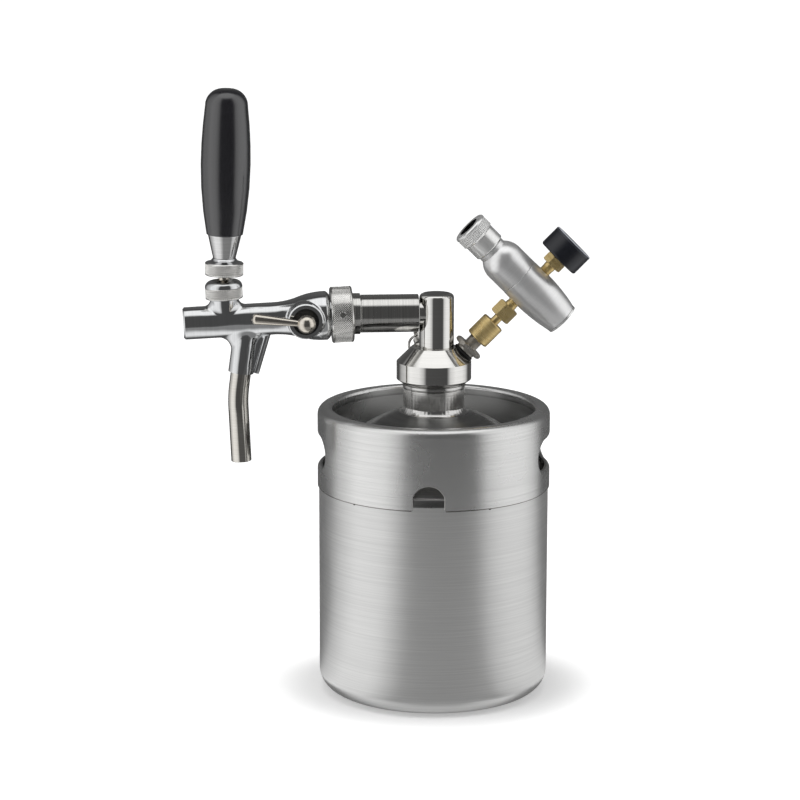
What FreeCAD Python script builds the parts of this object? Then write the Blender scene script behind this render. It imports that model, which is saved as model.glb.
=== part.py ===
import FreeCAD, Part
import Sketcher
import math
import os

# Mini keg beer dispenser, in millimetres.  +Z is up and the origin is the centre of the keg's foot on
# the table.  The tap arm points along -X, the gas inlet along +X, and the flow lever faces -Y.

PARTS_FOLDER = "parts"
NO_TURN = FreeCAD.Rotation()
X_AXIS = FreeCAD.Vector(1, 0, 0)
Y_AXIS = FreeCAD.Vector(0, 1, 0)
Z_AXIS = FreeCAD.Vector(0, 0, 1)
ORIGIN = FreeCAD.Vector(0, 0, 0)

# ---------------------------------------------------------------- driving dimensions
SIZES = {
    "Clearances": {
        "fixed_gap": (0.05, "between round faces of pieces that stay together"),
        "running": (0.3, "between faces that move past each other"),
    },
    "Keg body": {
        "body_radius": (82.3, "outside of the drawn wall"),
        "sheet": (1.2, "wall of body and dome"),
        "base_edge": (14.5, "radius of the turned bottom edge"),
        "foot_radius": (62.0, "inner edge of the ring that stands on the table"),
        "recess_radius": (56.0, "flat of the pushed-in base"),
        "recess_depth": (4.0, "height of that flat above the table"),
        "shoulder_height": (153.0, "top of the straight wall"),
        "knuckle": (10.0, "small radius from wall to dome"),
        "crown": (91.0, "large radius of the dome"),
        "keg_turn": (-7.4, "turn of the keg under the head, degrees"),
    },
    "Keg neck": {
        "neck_radius": (21.85, "outside of the neck"),
        "neck_bore": (17.8, "filling hole"),
        "neck_sunk": (5.0, "length below the top of the dome"),
        "neck_length": (19.8, "dome to top of the lip"),
        "weld_radius": (24.8, "foot of the weld bead"),
        "weld_rise": (3.6, "height of the weld bead"),
        "lip_rise": (0.55, "lip beyond the neck"),
        "lip_width": (2.2, "height of the lip"),
        "groove_depth": (0.7, "groove under the lip"),
        "groove_width": (1.2, "height of that groove"),
        "thread_radius": (20.4, "screwed end of the neck"),
        "thread_length": (11.3, "height of the screwed end"),
    },
    "Handle collar": {
        "collar_sheet": (0.9, "sheet of the collar"),
        "collar_lap": (2.0, "overlap with the straight wall"),
        "collar_height": (57.0, "bottom edge to rim"),
        "rim_corner": (5.5, "outer radius of the rim"),
        "rim_band": (10.65, "width of the rim"),
        "curl": (2.5, "radius of the inner curl"),
        "curl_drop": (7.0, "depth of the inner curl"),
        "arch_width": (23.0, "drain arch in the bottom edge"),
        "arch_side": (9.0, "straight side of the arch"),
        "arch_height": (17.5, "crown of the arch"),
        "grip_width": (64.0, "throat of each hand hole"),
        "grip_height": (22.0, "height of that throat"),
        "grip_level": (26.0, "middle of the throat above the bottom edge"),
        "grip_lip": (2.6, "rolled edge of the hand hole"),
        "grip_depth": (3.6, "depth of the rolled edge"),
    },
    "Head": {
        "head_gap": (0.4, "neck lip to head"),
        "head_radius": (26.7, "outside of the band"),
        "head_foot": (22.6, "bottom face of the head"),
        "head_chamfer": (3.0, "height of the bottom chamfer"),
        "head_band": (12.5, "height of the band"),
        "head_top": (16.2, "radius at the top of the cone"),
        "neck_seal": (1.2, "thickness of the neck washer"),
        "seal_gap": (0.1, "neck washer above the neck"),
        "post_offset": (1.8, "outlet post from the keg axis"),
        "post_radius": (12.35, "outlet post"),
        "post_height": (38.5, "height of the post above the cone"),
        "post_edge": (3.0, "rounded top of the post"),
        "beer_bore": (5.0, "beer way through post and arm"),
    },
    "Dip tube": {
        "tube_radius": (4.75, "outside of the dip tube"),
        "tube_wall": (0.8, "wall of the dip tube"),
        "tube_floor": (5.0, "open end above the keg's floor"),
        "tube_seat": (3.0, "tube end below the top of the head"),
        "tube_ring": (1.0, "section radius of the tube's O-ring"),
    },
    "Arm": {
        "arm_rise": (24.5, "arm axis above the cone"),
        "arm_radius": (13.5, "outside of the arm"),
        "arm_spigot": (9.1, "reduced end welded to the post"),
        "arm_shoulder": (0.75, "arm end off the post"),
        "arm_reach": (57.2, "keg axis to the face of the end ring"),
        "ring_radius": (14.6, "end ring of the arm"),
        "ring_width": (4.3, "width of that ring"),
        "ring_groove": (0.6, "groove beside that ring"),
        "shank_radius": (14.8, "screwed end inside the coupling nut"),
        "shank_length": (6.0, "length of that end"),
    },
    "Gas inlet": {
        "port_radius": (20.85, "ports on the cone, from the keg axis"),
        "port_tilt": (45.0, "ports from the vertical, degrees"),
        "spot_radius": (7.9, "flat seat of a port"),
        "spot_depth": (0.8, "depth of that seat"),
        "nipple_radius": (5.4, "threaded gas nipple"),
        "nipple_depth": (6.0, "nipple screwed into the port"),
        "nipple_reach": (21.0, "nipple out of the port"),
        "nipple_bore": (3.3, "valve chamber in the nipple"),
        "gas_way": (1.6, "drilled gas passages"),
        "gas_ring": (1.2, "section radius of the port O-ring"),
        "gas_washer": (1.8, "thickness of the washer under the lock nut"),
        "gas_washer_radius": (7.15, "that washer"),
        "lock_nut_flat": (9.8, "half the width across flats"),
        "lock_nut_height": (3.8, "height of the lock nut"),
    },
    "Gas swivel": {
        "swivel_start": (13.6, "near face of the swivel nut"),
        "swivel_length": (17.4, "length of the swivel nut"),
        "swivel_radius": (8.6, "outside of the swivel nut"),
        "swivel_chamfer": (1.2, "rounded ends of the swivel nut"),
        "swivel_lip": (6.4, "inward lip of the swivel nut"),
        "tail_washer": (0.8, "nylon washer on the nipple"),
        "tail_flange_radius": (5.2, "flange of the brass tail"),
        "tail_flange": (2.2, "thickness of that flange"),
        "tail_neck": (3.25, "neck of the brass tail"),
        "tail_neck_end": (36.0, "end of the neck from the cone"),
        "tail_hex_flat": (7.0, "half the width across flats"),
        "tail_hex": (11.0, "length of the hexagon"),
        "stub_radius": (4.3, "screwed stubs of the regulator"),
        "regulator_reach": (66.5, "regulator axis from the cone"),
    },
    "Check valve": {
        "poppet_seat": (8.0, "valve seat from the cone"),
        "poppet_radius": (2.8, "rubber-faced plunger"),
        "poppet_length": (5.0, "length of the plunger"),
        "check_travel": (1.5, "opening of the plunger"),
        "check_wire": (0.3, "spring wire radius"),
        "check_turns": (5.0, "spring turns"),
    },
    "Relief valve": {
        "relief_angle": (110.0, "direction of the valve round the head, degrees"),
        "relief_thread": (4.8, "screwed part"),
        "relief_flat": (5.5, "half the width across flats"),
        "relief_hex": (4.0, "height of the hexagon"),
        "relief_barrel": (4.0, "barrel above the hexagon"),
        "relief_barrel_length": (4.8, "height of the barrel"),
        "relief_bore": (3.0, "spring chamber"),
        "relief_stem": (1.3, "stem of the plunger"),
        "relief_travel": (2.0, "pull of the plunger"),
        "relief_wire": (0.35, "spring wire radius"),
        "relief_turns": (4.0, "spring turns"),
        "tab_thickness": (1.6, "flat tab for the ring"),
        "tab_width": (5.6, "width of the tab"),
        "tab_height": (6.8, "height of the tab"),
        "tab_hole": (1.9, "hole in the tab"),
        "pull_ring_radius": (6.3, "middle of the ring's wire"),
        "pull_ring_wire": (0.65, "wire of the two-turn ring"),
        "pull_ring_pitch": (0.58, "each turn from the ring's middle"),
    },
    "Regulator": {
        "mouth_reach": (61.7, "port axis to the cartridge mouth"),
        "knurl_radius": (12.85, "knurled part of the cartridge collar"),
        "knurl_length": (10.0, "its length"),
        "knurl_edge": (0.9, "its chamfers"),
        "sleeve_radius": (11.8, "plain part of the collar"),
        "sleeve_end": (21.3, "end of the collar from the mouth"),
        "cartridge_bore": (7.9, "thread for the gas cartridge"),
        "cartridge_depth": (12.5, "depth of that thread"),
        "runout_depth": (0.4, "run-out groove below that thread, beyond its radius"),
        "runout_length": (1.7, "length of that groove"),
        "spigot_radius": (9.3, "screwed top of the dome"),
        "spigot_start": (16.0, "top of that spigot from the mouth"),
        "dome_step": (22.0, "neck of the dome from the mouth"),
        "dome_neck": (10.6, "radius of that neck"),
        "dome_radius": (15.2, "spherical shoulder"),
        "dome_centre": (36.0, "its centre from the mouth"),
        "seam": (11.4, "dome to body joint, above the port axis"),
        "seam_gap": (0.25, "width of the joint line"),
        "joint_radius": (12.85, "screwed joint inside"),
        "joint_length": (12.0, "depth of the screwed joint"),
        "waist_radius": (15.7, "widest part of the body"),
        "waist": (2.3, "its distance below the port axis"),
        "end_radius": (12.5, "lower end of the body"),
        "body_end": (32.1, "lower end of the body below the port axis"),
        "port_depth": (8.0, "floor of a port from the regulator axis"),
        "pressure_bore": (10.5, "piston bore"),
        "pressure_floor": (6.3, "floor of the piston bore below the port axis"),
        "chamber_radius": (4.0, "outlet chamber"),
        "chamber_top": (4.7, "its top above the port axis"),
        "valve_seat": (9.7, "high-pressure seat above the port axis"),
        "valve_bore": (3.4, "high-pressure chamber"),
        "orifice": (1.5, "hole in that seat"),
    },
    "Regulator inside": {
        "pin_radius": (3.0, "piercing pin body"),
        "pin_length": (8.0, "length of that body"),
        "pin_tip": (1.6, "root of the point"),
        "pin_point": (4.5, "length of the point"),
        "pin_bore": (0.6, "gas hole through the pin"),
        "cartridge_seal": (1.4, "thickness of the cartridge gasket"),
        "inlet_poppet": (2.8, "inlet valve plunger"),
        "inlet_length": (6.0, "length of the plunger"),
        "inlet_stem": (0.9, "stem of the plunger"),
        "inlet_wire": (0.3, "spring wire radius"),
        "inlet_turns": (4.0, "spring turns"),
        "piston_length": (4.4, "piston"),
        "piston_travel": (1.0, "stroke of the piston"),
        "piston_ring": (0.9, "section radius of the piston's O-ring"),
        "main_spring": (7.2, "mean radius of the pressure spring"),
        "main_wire": (0.9, "its wire radius"),
        "main_turns": (4.0, "its turns"),
        "adjuster_depth": (7.0, "screwed part of the pressure screw"),
        "adjuster_head": (1.5, "rim of its head"),
        "adjuster_crown": (1.0, "bulge of its head"),
        "coin_slot": (1.8, "width of the coin slot"),
        "coin_slot_depth": (1.3, "depth of the coin slot"),
        "coin_slot_length": (16.0, "length of the coin slot"),
    },
    "Pressure gauge": {
        "gauge_start": (94.9, "back of the case from the cone"),
        "gauge_hex_flat": (6.75, "half the width across flats"),
        "gauge_hex": (6.9, "length of the hexagon"),
        "gauge_spigot": (4.0, "stem inside the case"),
        "gauge_radius": (16.0, "outside of the case"),
        "gauge_depth": (14.6, "length of the case"),
        "gauge_wall": (1.4, "wall of the case"),
        "gauge_floor": (2.4, "back of the case"),
        "gauge_edge": (1.0, "chamfer of the back edge"),
        "movement_radius": (11.0, "plate of the movement"),
        "movement_plate": (0.8, "thickness of that plate"),
        "movement_post": (2.2, "post that carries the pointer"),
        "bourdon_radius": (9.3, "bend of the pressure tube"),
        "bourdon_tube": (1.3, "section of the pressure tube"),
        "dial_level": (10.0, "dial above the back of the case"),
        "dial_thickness": (0.6, "dial plate"),
        "needle_zero": (-45.0, "direction of zero on the dial, degrees"),
        "needle_length": (10.5, "pointer"),
        "needle_width": (1.3, "pointer"),
        "needle_thickness": (0.4, "pointer"),
        "needle_hub": (1.8, "hub of the pointer"),
        "needle_shaft": (0.7, "shaft of the pointer"),
        "lens_thickness": (1.8, "clear window"),
        "bezel_depth": (2.2, "ring over the window"),
        "bezel_bore": (13.3, "opening of that ring"),
    },
    "Tap body": {
        "droop": (2.6, "tap below the horizontal, degrees"),
        "washer_thickness": (1.5, "coupling washer"),
        "washer_bore": (6.0, "coupling washer"),
        "tail_disc_radius": (14.4, "disc held by the coupling nut"),
        "tail_disc": (3.0, "thickness of that disc"),
        "tail_radius": (12.3, "neck inside the coupling nut"),
        "flare_start": (16.9, "near face of the flare from the arm"),
        "flare_foot": (14.2, "radius of that face"),
        "flare_edge": (2.9, "height of the bevel behind it"),
        "flare_radius": (17.4, "widest part of the flare"),
        "flare_top": (21.5, "where it is widest"),
        "barrel_start": (57.0, "where the flare meets the barrel"),
        "barrel_radius": (11.5, "barrel"),
        "barrel_end": (121.1, "outer end of the barrel"),
        "barrel_edge": (1.2, "chamfer of that end"),
    },
    "Tap inside": {
        "inlet_bore": (9.5, "bore from the coupling"),
        "throttle_start": (45.0, "step that the flow cone closes"),
        "throttle_length": (3.0, "length of that step"),
        "throttle_bore": (7.0, "bore of that step"),
        "valve_bore_tap": (9.0, "chamber of the beer valve"),
        "seat_start": (66.0, "seat of the beer valve"),
        "seat_length": (3.0, "length of the seat"),
        "seat_bore": (5.5, "hole in the seat"),
        "chamber_bore": (8.2, "chamber under the lever"),
        "chamber_end": (112.0, "closed end of that chamber"),
    },
    "Spout": {
        "spout_foot_x": (82.3, "foot of the spout boss from the arm"),
        "spout_foot_drop": (37.4, "foot of the boss below the barrel axis"),
        "spout_tilt": (10.0, "lean of the boss, degrees"),
        "spout_boss_length": (38.0, "boss from its foot"),
        "spout_boss_top": (8.7, "upper radius of the boss"),
        "spout_boss_foot": (9.0, "lower radius of the boss"),
        "spout_blend": (8.5, "blend of boss and barrel"),
        "spout_radius": (7.25, "outside of the spout tube"),
        "spout_wall": (1.0, "wall of the spout tube"),
        "spout_socket": (12.0, "tube inside the boss"),
        "spout_way": (5.5, "beer way above the tube"),
        "spout_straight": (10.0, "straight tube below the boss"),
        "spout_bend": (90.0, "bend of the tube's axis"),
        "spout_tail": (39.0, "straight tube below the bend"),
        "vent_radius": (2.6, "vent rib"),
        "vent_top_x": (61.5, "top of the vent rib from the arm"),
        "vent_top_drop": (8.5, "top of the vent rib below the axis"),
        "vent_run": (10.5, "vent rib, outward"),
        "vent_drop": (30.0, "vent rib, downward"),
        "vent_blend": (1.0, "blend of the vent rib"),
        "vent_bore": (1.1, "vent hole"),
    },
    "Flow control": {
        "flow_x": (35.1, "flow lever from the arm"),
        "flow_boss": (12.6, "boss of the flow lever"),
        "flow_boss_length": (20.6, "face of that boss from the barrel axis"),
        "flow_blend": (4.0, "blend of that boss, where the flare leaves room"),
        "flow_edge": (0.8, "chamfer of its rim"),
        "flow_recess": (9.3, "recess behind the ball"),
        "flow_recess_depth": (5.0, "depth of the recess"),
        "gland_thickness": (2.3, "gland nut in the recess"),
        "flow_shaft": (3.0, "shaft of the flow lever"),
        "flow_o_ring": (0.85, "section radius of the shaft's O-ring"),
        "flow_ball": (6.65, "polished ball"),
        "flow_ball_reach": (29.0, "ball from the barrel axis"),
        "flow_lever_root": (1.9, "lever at the ball"),
        "flow_lever_tip": (3.9, "lever at its end"),
        "flow_lever_length": (38.0, "ball centre to the end"),
        "flow_lever_edge": (2.4, "rounded end of the lever"),
        "flow_lever_rise": (9.3, "lever above the barrel axis, degrees"),
        "crank_offset": (1.5, "eccentric of the crank pin"),
        "crank_radius": (1.2, "crank pin"),
        "crank_reach": (5.2, "length of the crank pin"),
        "cone_guide": (9.0, "guide of the flow cone"),
        "cone_start": (28.0, "near face of the guide from the arm"),
        "cone_guide_length": (13.0, "length of the guide"),
        "cone_root": (6.8, "root of the nose"),
        "cone_tip": (3.5, "tip of the nose"),
        "cone_nose": (5.0, "length of the nose"),
        "cone_hole": (1.6, "beer holes through the guide"),
        "cone_hole_height": (6.3, "those holes above and below the axis"),
        "cone_hole_depth": (3.4, "those holes behind the axis"),
    },
    "Bonnet and lever": {
        "bonnet_x": (91.1, "lever from the arm"),
        "bonnet_boss": (10.0, "boss under the bonnet"),
        "bonnet_boss_top": (16.6, "top of that boss above the barrel axis"),
        "bonnet_blend": (5.0, "blend of that boss"),
        "bonnet_spigot": (9.2, "screwed top of the boss"),
        "bonnet_spigot_length": (5.4, "its height"),
        "bonnet_radius": (13.3, "knurled bonnet"),
        "bonnet_knurl": (8.0, "height of the knurl"),
        "bonnet_dome": (4.6, "rounded top of the bonnet"),
        "bonnet_top": (9.8, "outer edge of its top face"),
        "bonnet_mouth": (9.6, "opening for the lever"),
        "bonnet_throat": (5.3, "narrowest place above the ball"),
        "pivot_height": (22.0, "ball centre above the barrel axis"),
        "lever_ball": (6.0, "ball of the lever"),
        "lever_lean": (4.0, "closed lever towards the keg, degrees"),
        "lever_neck": (3.0, "thin part of the lever"),
        "lever_neck_end": (7.6, "end of the thin part above the ball centre"),
        "lever_rod": (3.9, "rod of the lever"),
        "lever_rod_end": (36.0, "end of the rod above the ball centre"),
        "finger_radius": (1.6, "lower arm of the lever"),
        "finger_ball": (2.6, "ball that moves the shuttle"),
        "seat_ring_radius": (7.3, "plastic seat of the ball"),
        "seat_ring_level": (17.6, "its lower face above the barrel axis"),
        "seat_ring_height": (2.0, "its height"),
        "seat_ring_bore": (4.6, "its lower bore"),
        "lever_way_top": (6.3, "lever opening in the boss, upper"),
        "lever_way_foot": (8.5, "lever opening in the boss, lower"),
    },
    "Shuttle": {
        "shuttle_disc": (7.4, "valve disc"),
        "shuttle_disc_length": (3.0, "its thickness"),
        "valve_washer": (1.9, "thickness of the valve washer"),
        "shuttle_rod": (3.0, "rod through the seat"),
        "yoke_start": (84.6, "yoke from the arm"),
        "yoke_radius": (4.6, "yoke"),
        "yoke_end": (99.6, "far end of the yoke"),
        "guide_length": (3.0, "guide disc behind the yoke"),
        "slot_clearance": (0.45, "slot round the finger's ball"),
    },
    "Coupling nut": {
        "nut_radius": (20.0, "coupling nut"),
        "nut_start": (0.9, "near face from the arm"),
        "nut_width": (15.5, "width of the nut"),
        "nut_edge": (0.6, "chamfers of the nut"),
        "nut_clearance": (0.75, "thread bore round the arm's end"),
        "spanner_hole": (2.1, "holes for a hook spanner"),
        "spanner_depth": (3.2, "their depth"),
        "spanner_angle": (9.0, "first hole above the flow lever's side, degrees"),
        "spanner_count": (4.0, "holes round the nut"),
    },
    "Handle": {
        "lock_nut_start": (11.2, "thumb nut above the lever's ball centre"),
        "lock_nut_radius": (13.6, "knurled thumb nut"),
        "lock_nut_knurl": (9.1, "height of the knurl"),
        "lock_nut_edge": (0.5, "chamfers of the knurl"),
        "lock_nut_top": (8.2, "top of its hollow flange"),
        "lock_nut_flange": (3.0, "height of that flange"),
        "flange_hollow": (6.5, "radius of the hollow"),
        "ferrule_foot": (8.0, "lower end of the ferrule"),
        "ferrule_top": (11.9, "upper end of the ferrule"),
        "ferrule_length": (16.9, "height of the ferrule"),
        "grip_foot": (12.9, "lower end of the handle"),
        "grip_belly": (17.5, "widest part of the handle"),
        "grip_belly_height": (49.6, "its height above the ferrule"),
        "grip_shoulder": (15.0, "radius where the end rounds off"),
        "grip_shoulder_height": (90.9, "its height above the ferrule"),
        "grip_nose": (11.9, "rounding of the end"),
        "stud_radius": (3.0, "threaded stud between ferrule and handle"),
        "stud_length": (14.0, "stud inside the handle"),
    },
}


class Size:
    """A length that carries its value and the sheet formula that it comes from."""

    def __init__(self, formula, value):
        self.formula = formula
        self.value = value

    @staticmethod
    def of(other):
        return other if isinstance(other, Size) else Size(repr(float(other)), float(other))

    def __add__(self, other):
        other = Size.of(other)
        return Size(f"({self.formula} + {other.formula})", self.value + other.value)

    def __radd__(self, other):
        return Size.of(other) + self

    def __sub__(self, other):
        other = Size.of(other)
        return Size(f"({self.formula} - {other.formula})", self.value - other.value)

    def __rsub__(self, other):
        return Size.of(other) - self

    def __mul__(self, other):
        other = Size.of(other)
        return Size(f"({self.formula} * {other.formula})", self.value * other.value)

    def __rmul__(self, other):
        return Size.of(other) * self

    def __truediv__(self, other):
        other = Size.of(other)
        return Size(f"({self.formula} / {other.formula})", self.value / other.value)

    def __neg__(self):
        return Size(f"(-1 * {self.formula})", -self.value)

    def root(self):
        return Size(f"sqrt({self.formula})", math.sqrt(self.value))


def leg(hypotenuse, other):
    """The third side of a right-angled triangle."""
    return (hypotenuse * hypotenuse - other * other).root()


def smaller(first, second):
    """The smaller of two sizes, for a blend that is limited by its wall."""
    return Size(f"min({first.formula}; {second.formula})", min(first.value, second.value))


def tangent_arc(run, rise):
    """Radius of the arc that leaves a line tangentially and drifts by rise over run."""
    return (run * run + rise * rise) / (2 * rise)


class Sheet:
    """The spreadsheet of driving dimensions; each alias reads as a Size attribute."""

    def __init__(self, document):
        self.object = document.addObject("Spreadsheet::Sheet", "Sizes")
        row = 1
        for section, sizes in SIZES.items():
            self.object.set(f"A{row}", section)
            row += 1
            for alias, (value, meaning) in sizes.items():
                self.object.set(f"A{row}", alias)
                self.object.set(f"B{row}", str(value))
                self.object.setAlias(f"B{row}", alias)
                self.object.set(f"C{row}", meaning)
                row += 1
        document.recompute()

    def __getattr__(self, alias):
        return Size(f"Sizes.{alias}", float(self.object.get(alias)))


# ---------------------------------------------------------------- sketches and features
class Bend:
    """Outline point reached by an arc; turn is +1 for a left-hand and -1 for a right-hand arc."""

    def __init__(self, x, y, radius, turn):
        self.x, self.y, self.radius, self.turn = x, y, radius, turn


def left(x, y, radius):
    return Bend(x, y, radius, 1)


def right(x, y, radius):
    return Bend(x, y, radius, -1)


def bind(target, name, size):
    """Sets a property or constraint to a sheet formula."""
    size = Size.of(size)
    target.setExpression(name, size.formula)


def arc_edge(start, end, bend):
    """The sketch arc from start to end, and which of its two ends lies at start."""
    chord = end.sub(start)
    half = chord.Length / 2
    radius = Size.of(bend.radius).value
    normal = FreeCAD.Vector(-chord.y, chord.x, 0).normalize()
    height = math.sqrt(max(radius * radius - half * half, 0.0))
    centre = start.add(end).multiply(0.5).add(normal.multiply(bend.turn * height))
    first, last = (start, end) if bend.turn > 0 else (end, start)
    angle_a = math.atan2(first.y - centre.y, first.x - centre.x)
    angle_b = math.atan2(last.y - centre.y, last.x - centre.x)
    if angle_b <= angle_a:
        angle_b += 2 * math.pi
    circle = Part.Circle(centre, Z_AXIS, radius)
    return Part.ArcOfCircle(circle, angle_a, angle_b), bend.turn > 0


def plane_of(body, role):
    return next(item for item in body.Origin.OriginFeatures if item.Role == role)


def new_sketch(body, name, role):
    sketch = body.newObject("Sketcher::SketchObject", name)
    sketch.AttachmentSupport = (plane_of(body, role), [""])
    sketch.MapMode = "FlatFace"
    return sketch


def pin_point(sketch, name, edge, end, x, y):
    """Holds one end of an edge at x, y from the sketch's origin."""
    for kind, size, axis in (("DistanceX", x, -2), ("DistanceY", y, -1)):
        size = Size.of(size)
        if size.formula == "0.0":
            sketch.addConstraint(Sketcher.Constraint("PointOnObject", edge, end, axis))
            continue
        index = sketch.addConstraint(Sketcher.Constraint(kind, -1, 1, edge, end, size.value))
        label = f"{name}_{kind[-1].lower()}"
        sketch.renameConstraint(index, label)
        sketch.setExpression(f"Constraints.{label}", size.formula)


def chain(sketch, points, closed):
    """Lines and arcs through the points; every point and radius is bound to the sheet."""
    steps = [point if isinstance(point, Bend) else Bend(*point, None, 0) for point in points]
    places = [FreeCAD.Vector(Size.of(step.x).value, Size.of(step.y).value, 0) for step in steps]
    count = len(steps)
    ends = []
    for index in range(count if closed else count - 1):
        start, end = places[index], places[(index + 1) % count]
        step = steps[(index + 1) % count]
        if step.turn:
            arc, forward = arc_edge(start, end, step)
            edge = sketch.addGeometry(arc, False)
            label = f"bend_{index}"
            constraint = sketch.addConstraint(Sketcher.Constraint("Radius", edge, arc.Radius))
            sketch.renameConstraint(constraint, label)
            sketch.setExpression(f"Constraints.{label}", Size.of(step.radius).formula)
            ends.append((edge, 1, 2) if forward else (edge, 2, 1))
        else:
            edge = sketch.addGeometry(Part.LineSegment(start, end), False)
            ends.append((edge, 1, 2))
    for index, (edge, first, last) in enumerate(ends):
        if closed or index + 1 < len(ends):
            after, after_first, _ = ends[(index + 1) % len(ends)]
            sketch.addConstraint(Sketcher.Constraint("Coincident", edge, last, after, after_first))
        pin_point(sketch, f"point_{index}", edge, first, steps[index].x, steps[index].y)
    if not closed:
        edge, _, last = ends[-1]
        pin_point(sketch, f"point_{count - 1}", edge, last, steps[-1].x, steps[-1].y)


def new_body(label, frame):
    body = FreeCAD.ActiveDocument.addObject("PartDesign::Body", label)
    body.Label = label
    body.Placement = frame
    return body


def revolve(body, name, points, kind="Revolution", axis="V_Axis"):
    """A turned or bored shape: an outline in the body's XZ plane swept round one of its axes."""
    sketch = new_sketch(body, f"{name}_outline", "XZ_Plane")
    chain(sketch, points, True)
    feature = body.newObject(f"PartDesign::{kind}", name)
    feature.Profile = sketch
    feature.ReferenceAxis = (sketch, [axis])
    feature.Angle = 360
    return feature


def turned(label, frame, points, axis="V_Axis"):
    """A body turned from one outline of (radius, height) points."""
    body = new_body(label, frame)
    revolve(body, f"{label}_turned", points, axis=axis)
    return body


def primitive(body, kind, name, at=(0, 0, 0), turn=NO_TURN, **sizes):
    """One additive or subtractive primitive, placed in the body's frame."""
    feature = body.newObject(f"PartDesign::{kind}", name)
    for prop, size in sizes.items():
        bind(feature, prop, size)
    spot = [Size.of(value) for value in at]
    feature.Placement = FreeCAD.Placement(FreeCAD.Vector(*(size.value for size in spot)), turn)
    for letter, size in zip("xyz", spot):
        if size.formula != "0.0":
            feature.setExpression(f"Placement.Base.{letter}", size.formula)
    return feature


def hexagon(body, name, half_flat, height, at):
    """A hexagonal prism whose corners follow from half its width across flats."""
    corner = half_flat * 2 / Size.of(3).root()
    prism = primitive(body, "AdditivePrism", name, at, Circumradius=corner, Height=height)
    prism.Polygon = 6
    return prism


def torus(label, frame, level, ring, section):
    """An O-ring as a body of its own."""
    body = new_body(label, frame)
    primitive(body, "AdditiveTorus", f"{label}_ring", (0, 0, level), Radius1=ring, Radius2=section)
    return body


def coil(label, frame, level, height, mean, wire, turns):
    """A round-wire helical spring between two heights."""
    body = new_body(label, frame)
    sketch = new_sketch(body, f"{label}_wire", "XZ_Plane")
    centre = FreeCAD.Vector(mean.value, level.value, 0)
    edge = sketch.addGeometry(Part.Circle(centre, Z_AXIS, wire.value), False)
    pin_point(sketch, "wire", edge, 3, mean, level + wire)
    index = sketch.addConstraint(Sketcher.Constraint("Radius", edge, wire.value))
    sketch.renameConstraint(index, "wire_radius")
    sketch.setExpression("Constraints.wire_radius", wire.formula)
    helix = body.newObject("PartDesign::AdditiveHelix", f"{label}_coil")
    helix.Profile = sketch
    helix.ReferenceAxis = (sketch, ["V_Axis"])
    helix.Mode = "height-turns-angle"
    bind(helix, "Height", height - 2 * wire)
    bind(helix, "Turns", turns)
    return body


def edge_names(shape, test):
    """Names of the edges of a shape whose sampled points all pass a test."""
    names = []
    samples = (0.0, 0.2, 0.37, 0.5, 0.8, 1.0)
    for index, edge in enumerate(shape.Edges):
        span = edge.LastParameter - edge.FirstParameter
        if all(test(edge.valueAt(edge.FirstParameter + span * share)) for share in samples):
            names.append(f"Edge{index + 1}")
    return names


def dress(body, kind, name, base, test, prop, size):
    """A fillet or chamfer on the edges of a feature that pass a test."""
    FreeCAD.ActiveDocument.recompute()
    feature = body.newObject(f"PartDesign::{kind}", name)
    feature.Base = (base, edge_names(base.Shape, test))
    bind(feature, prop, size)
    return feature


def near(value, target):
    return abs(value - target) < 2e-3


# ---------------------------------------------------------------- frames
def frame_at(point, *turns):
    """A placement at a point, with rotations given as (axis, degrees) from the outside in."""
    rotation = FreeCAD.Rotation()
    for axis, angle in turns:
        rotation = rotation.multiply(FreeCAD.Rotation(axis, angle))
    return FreeCAD.Placement(FreeCAD.Vector(*point), rotation)


def turn_about(axis, angle):
    return FreeCAD.Rotation(axis, angle)


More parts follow.
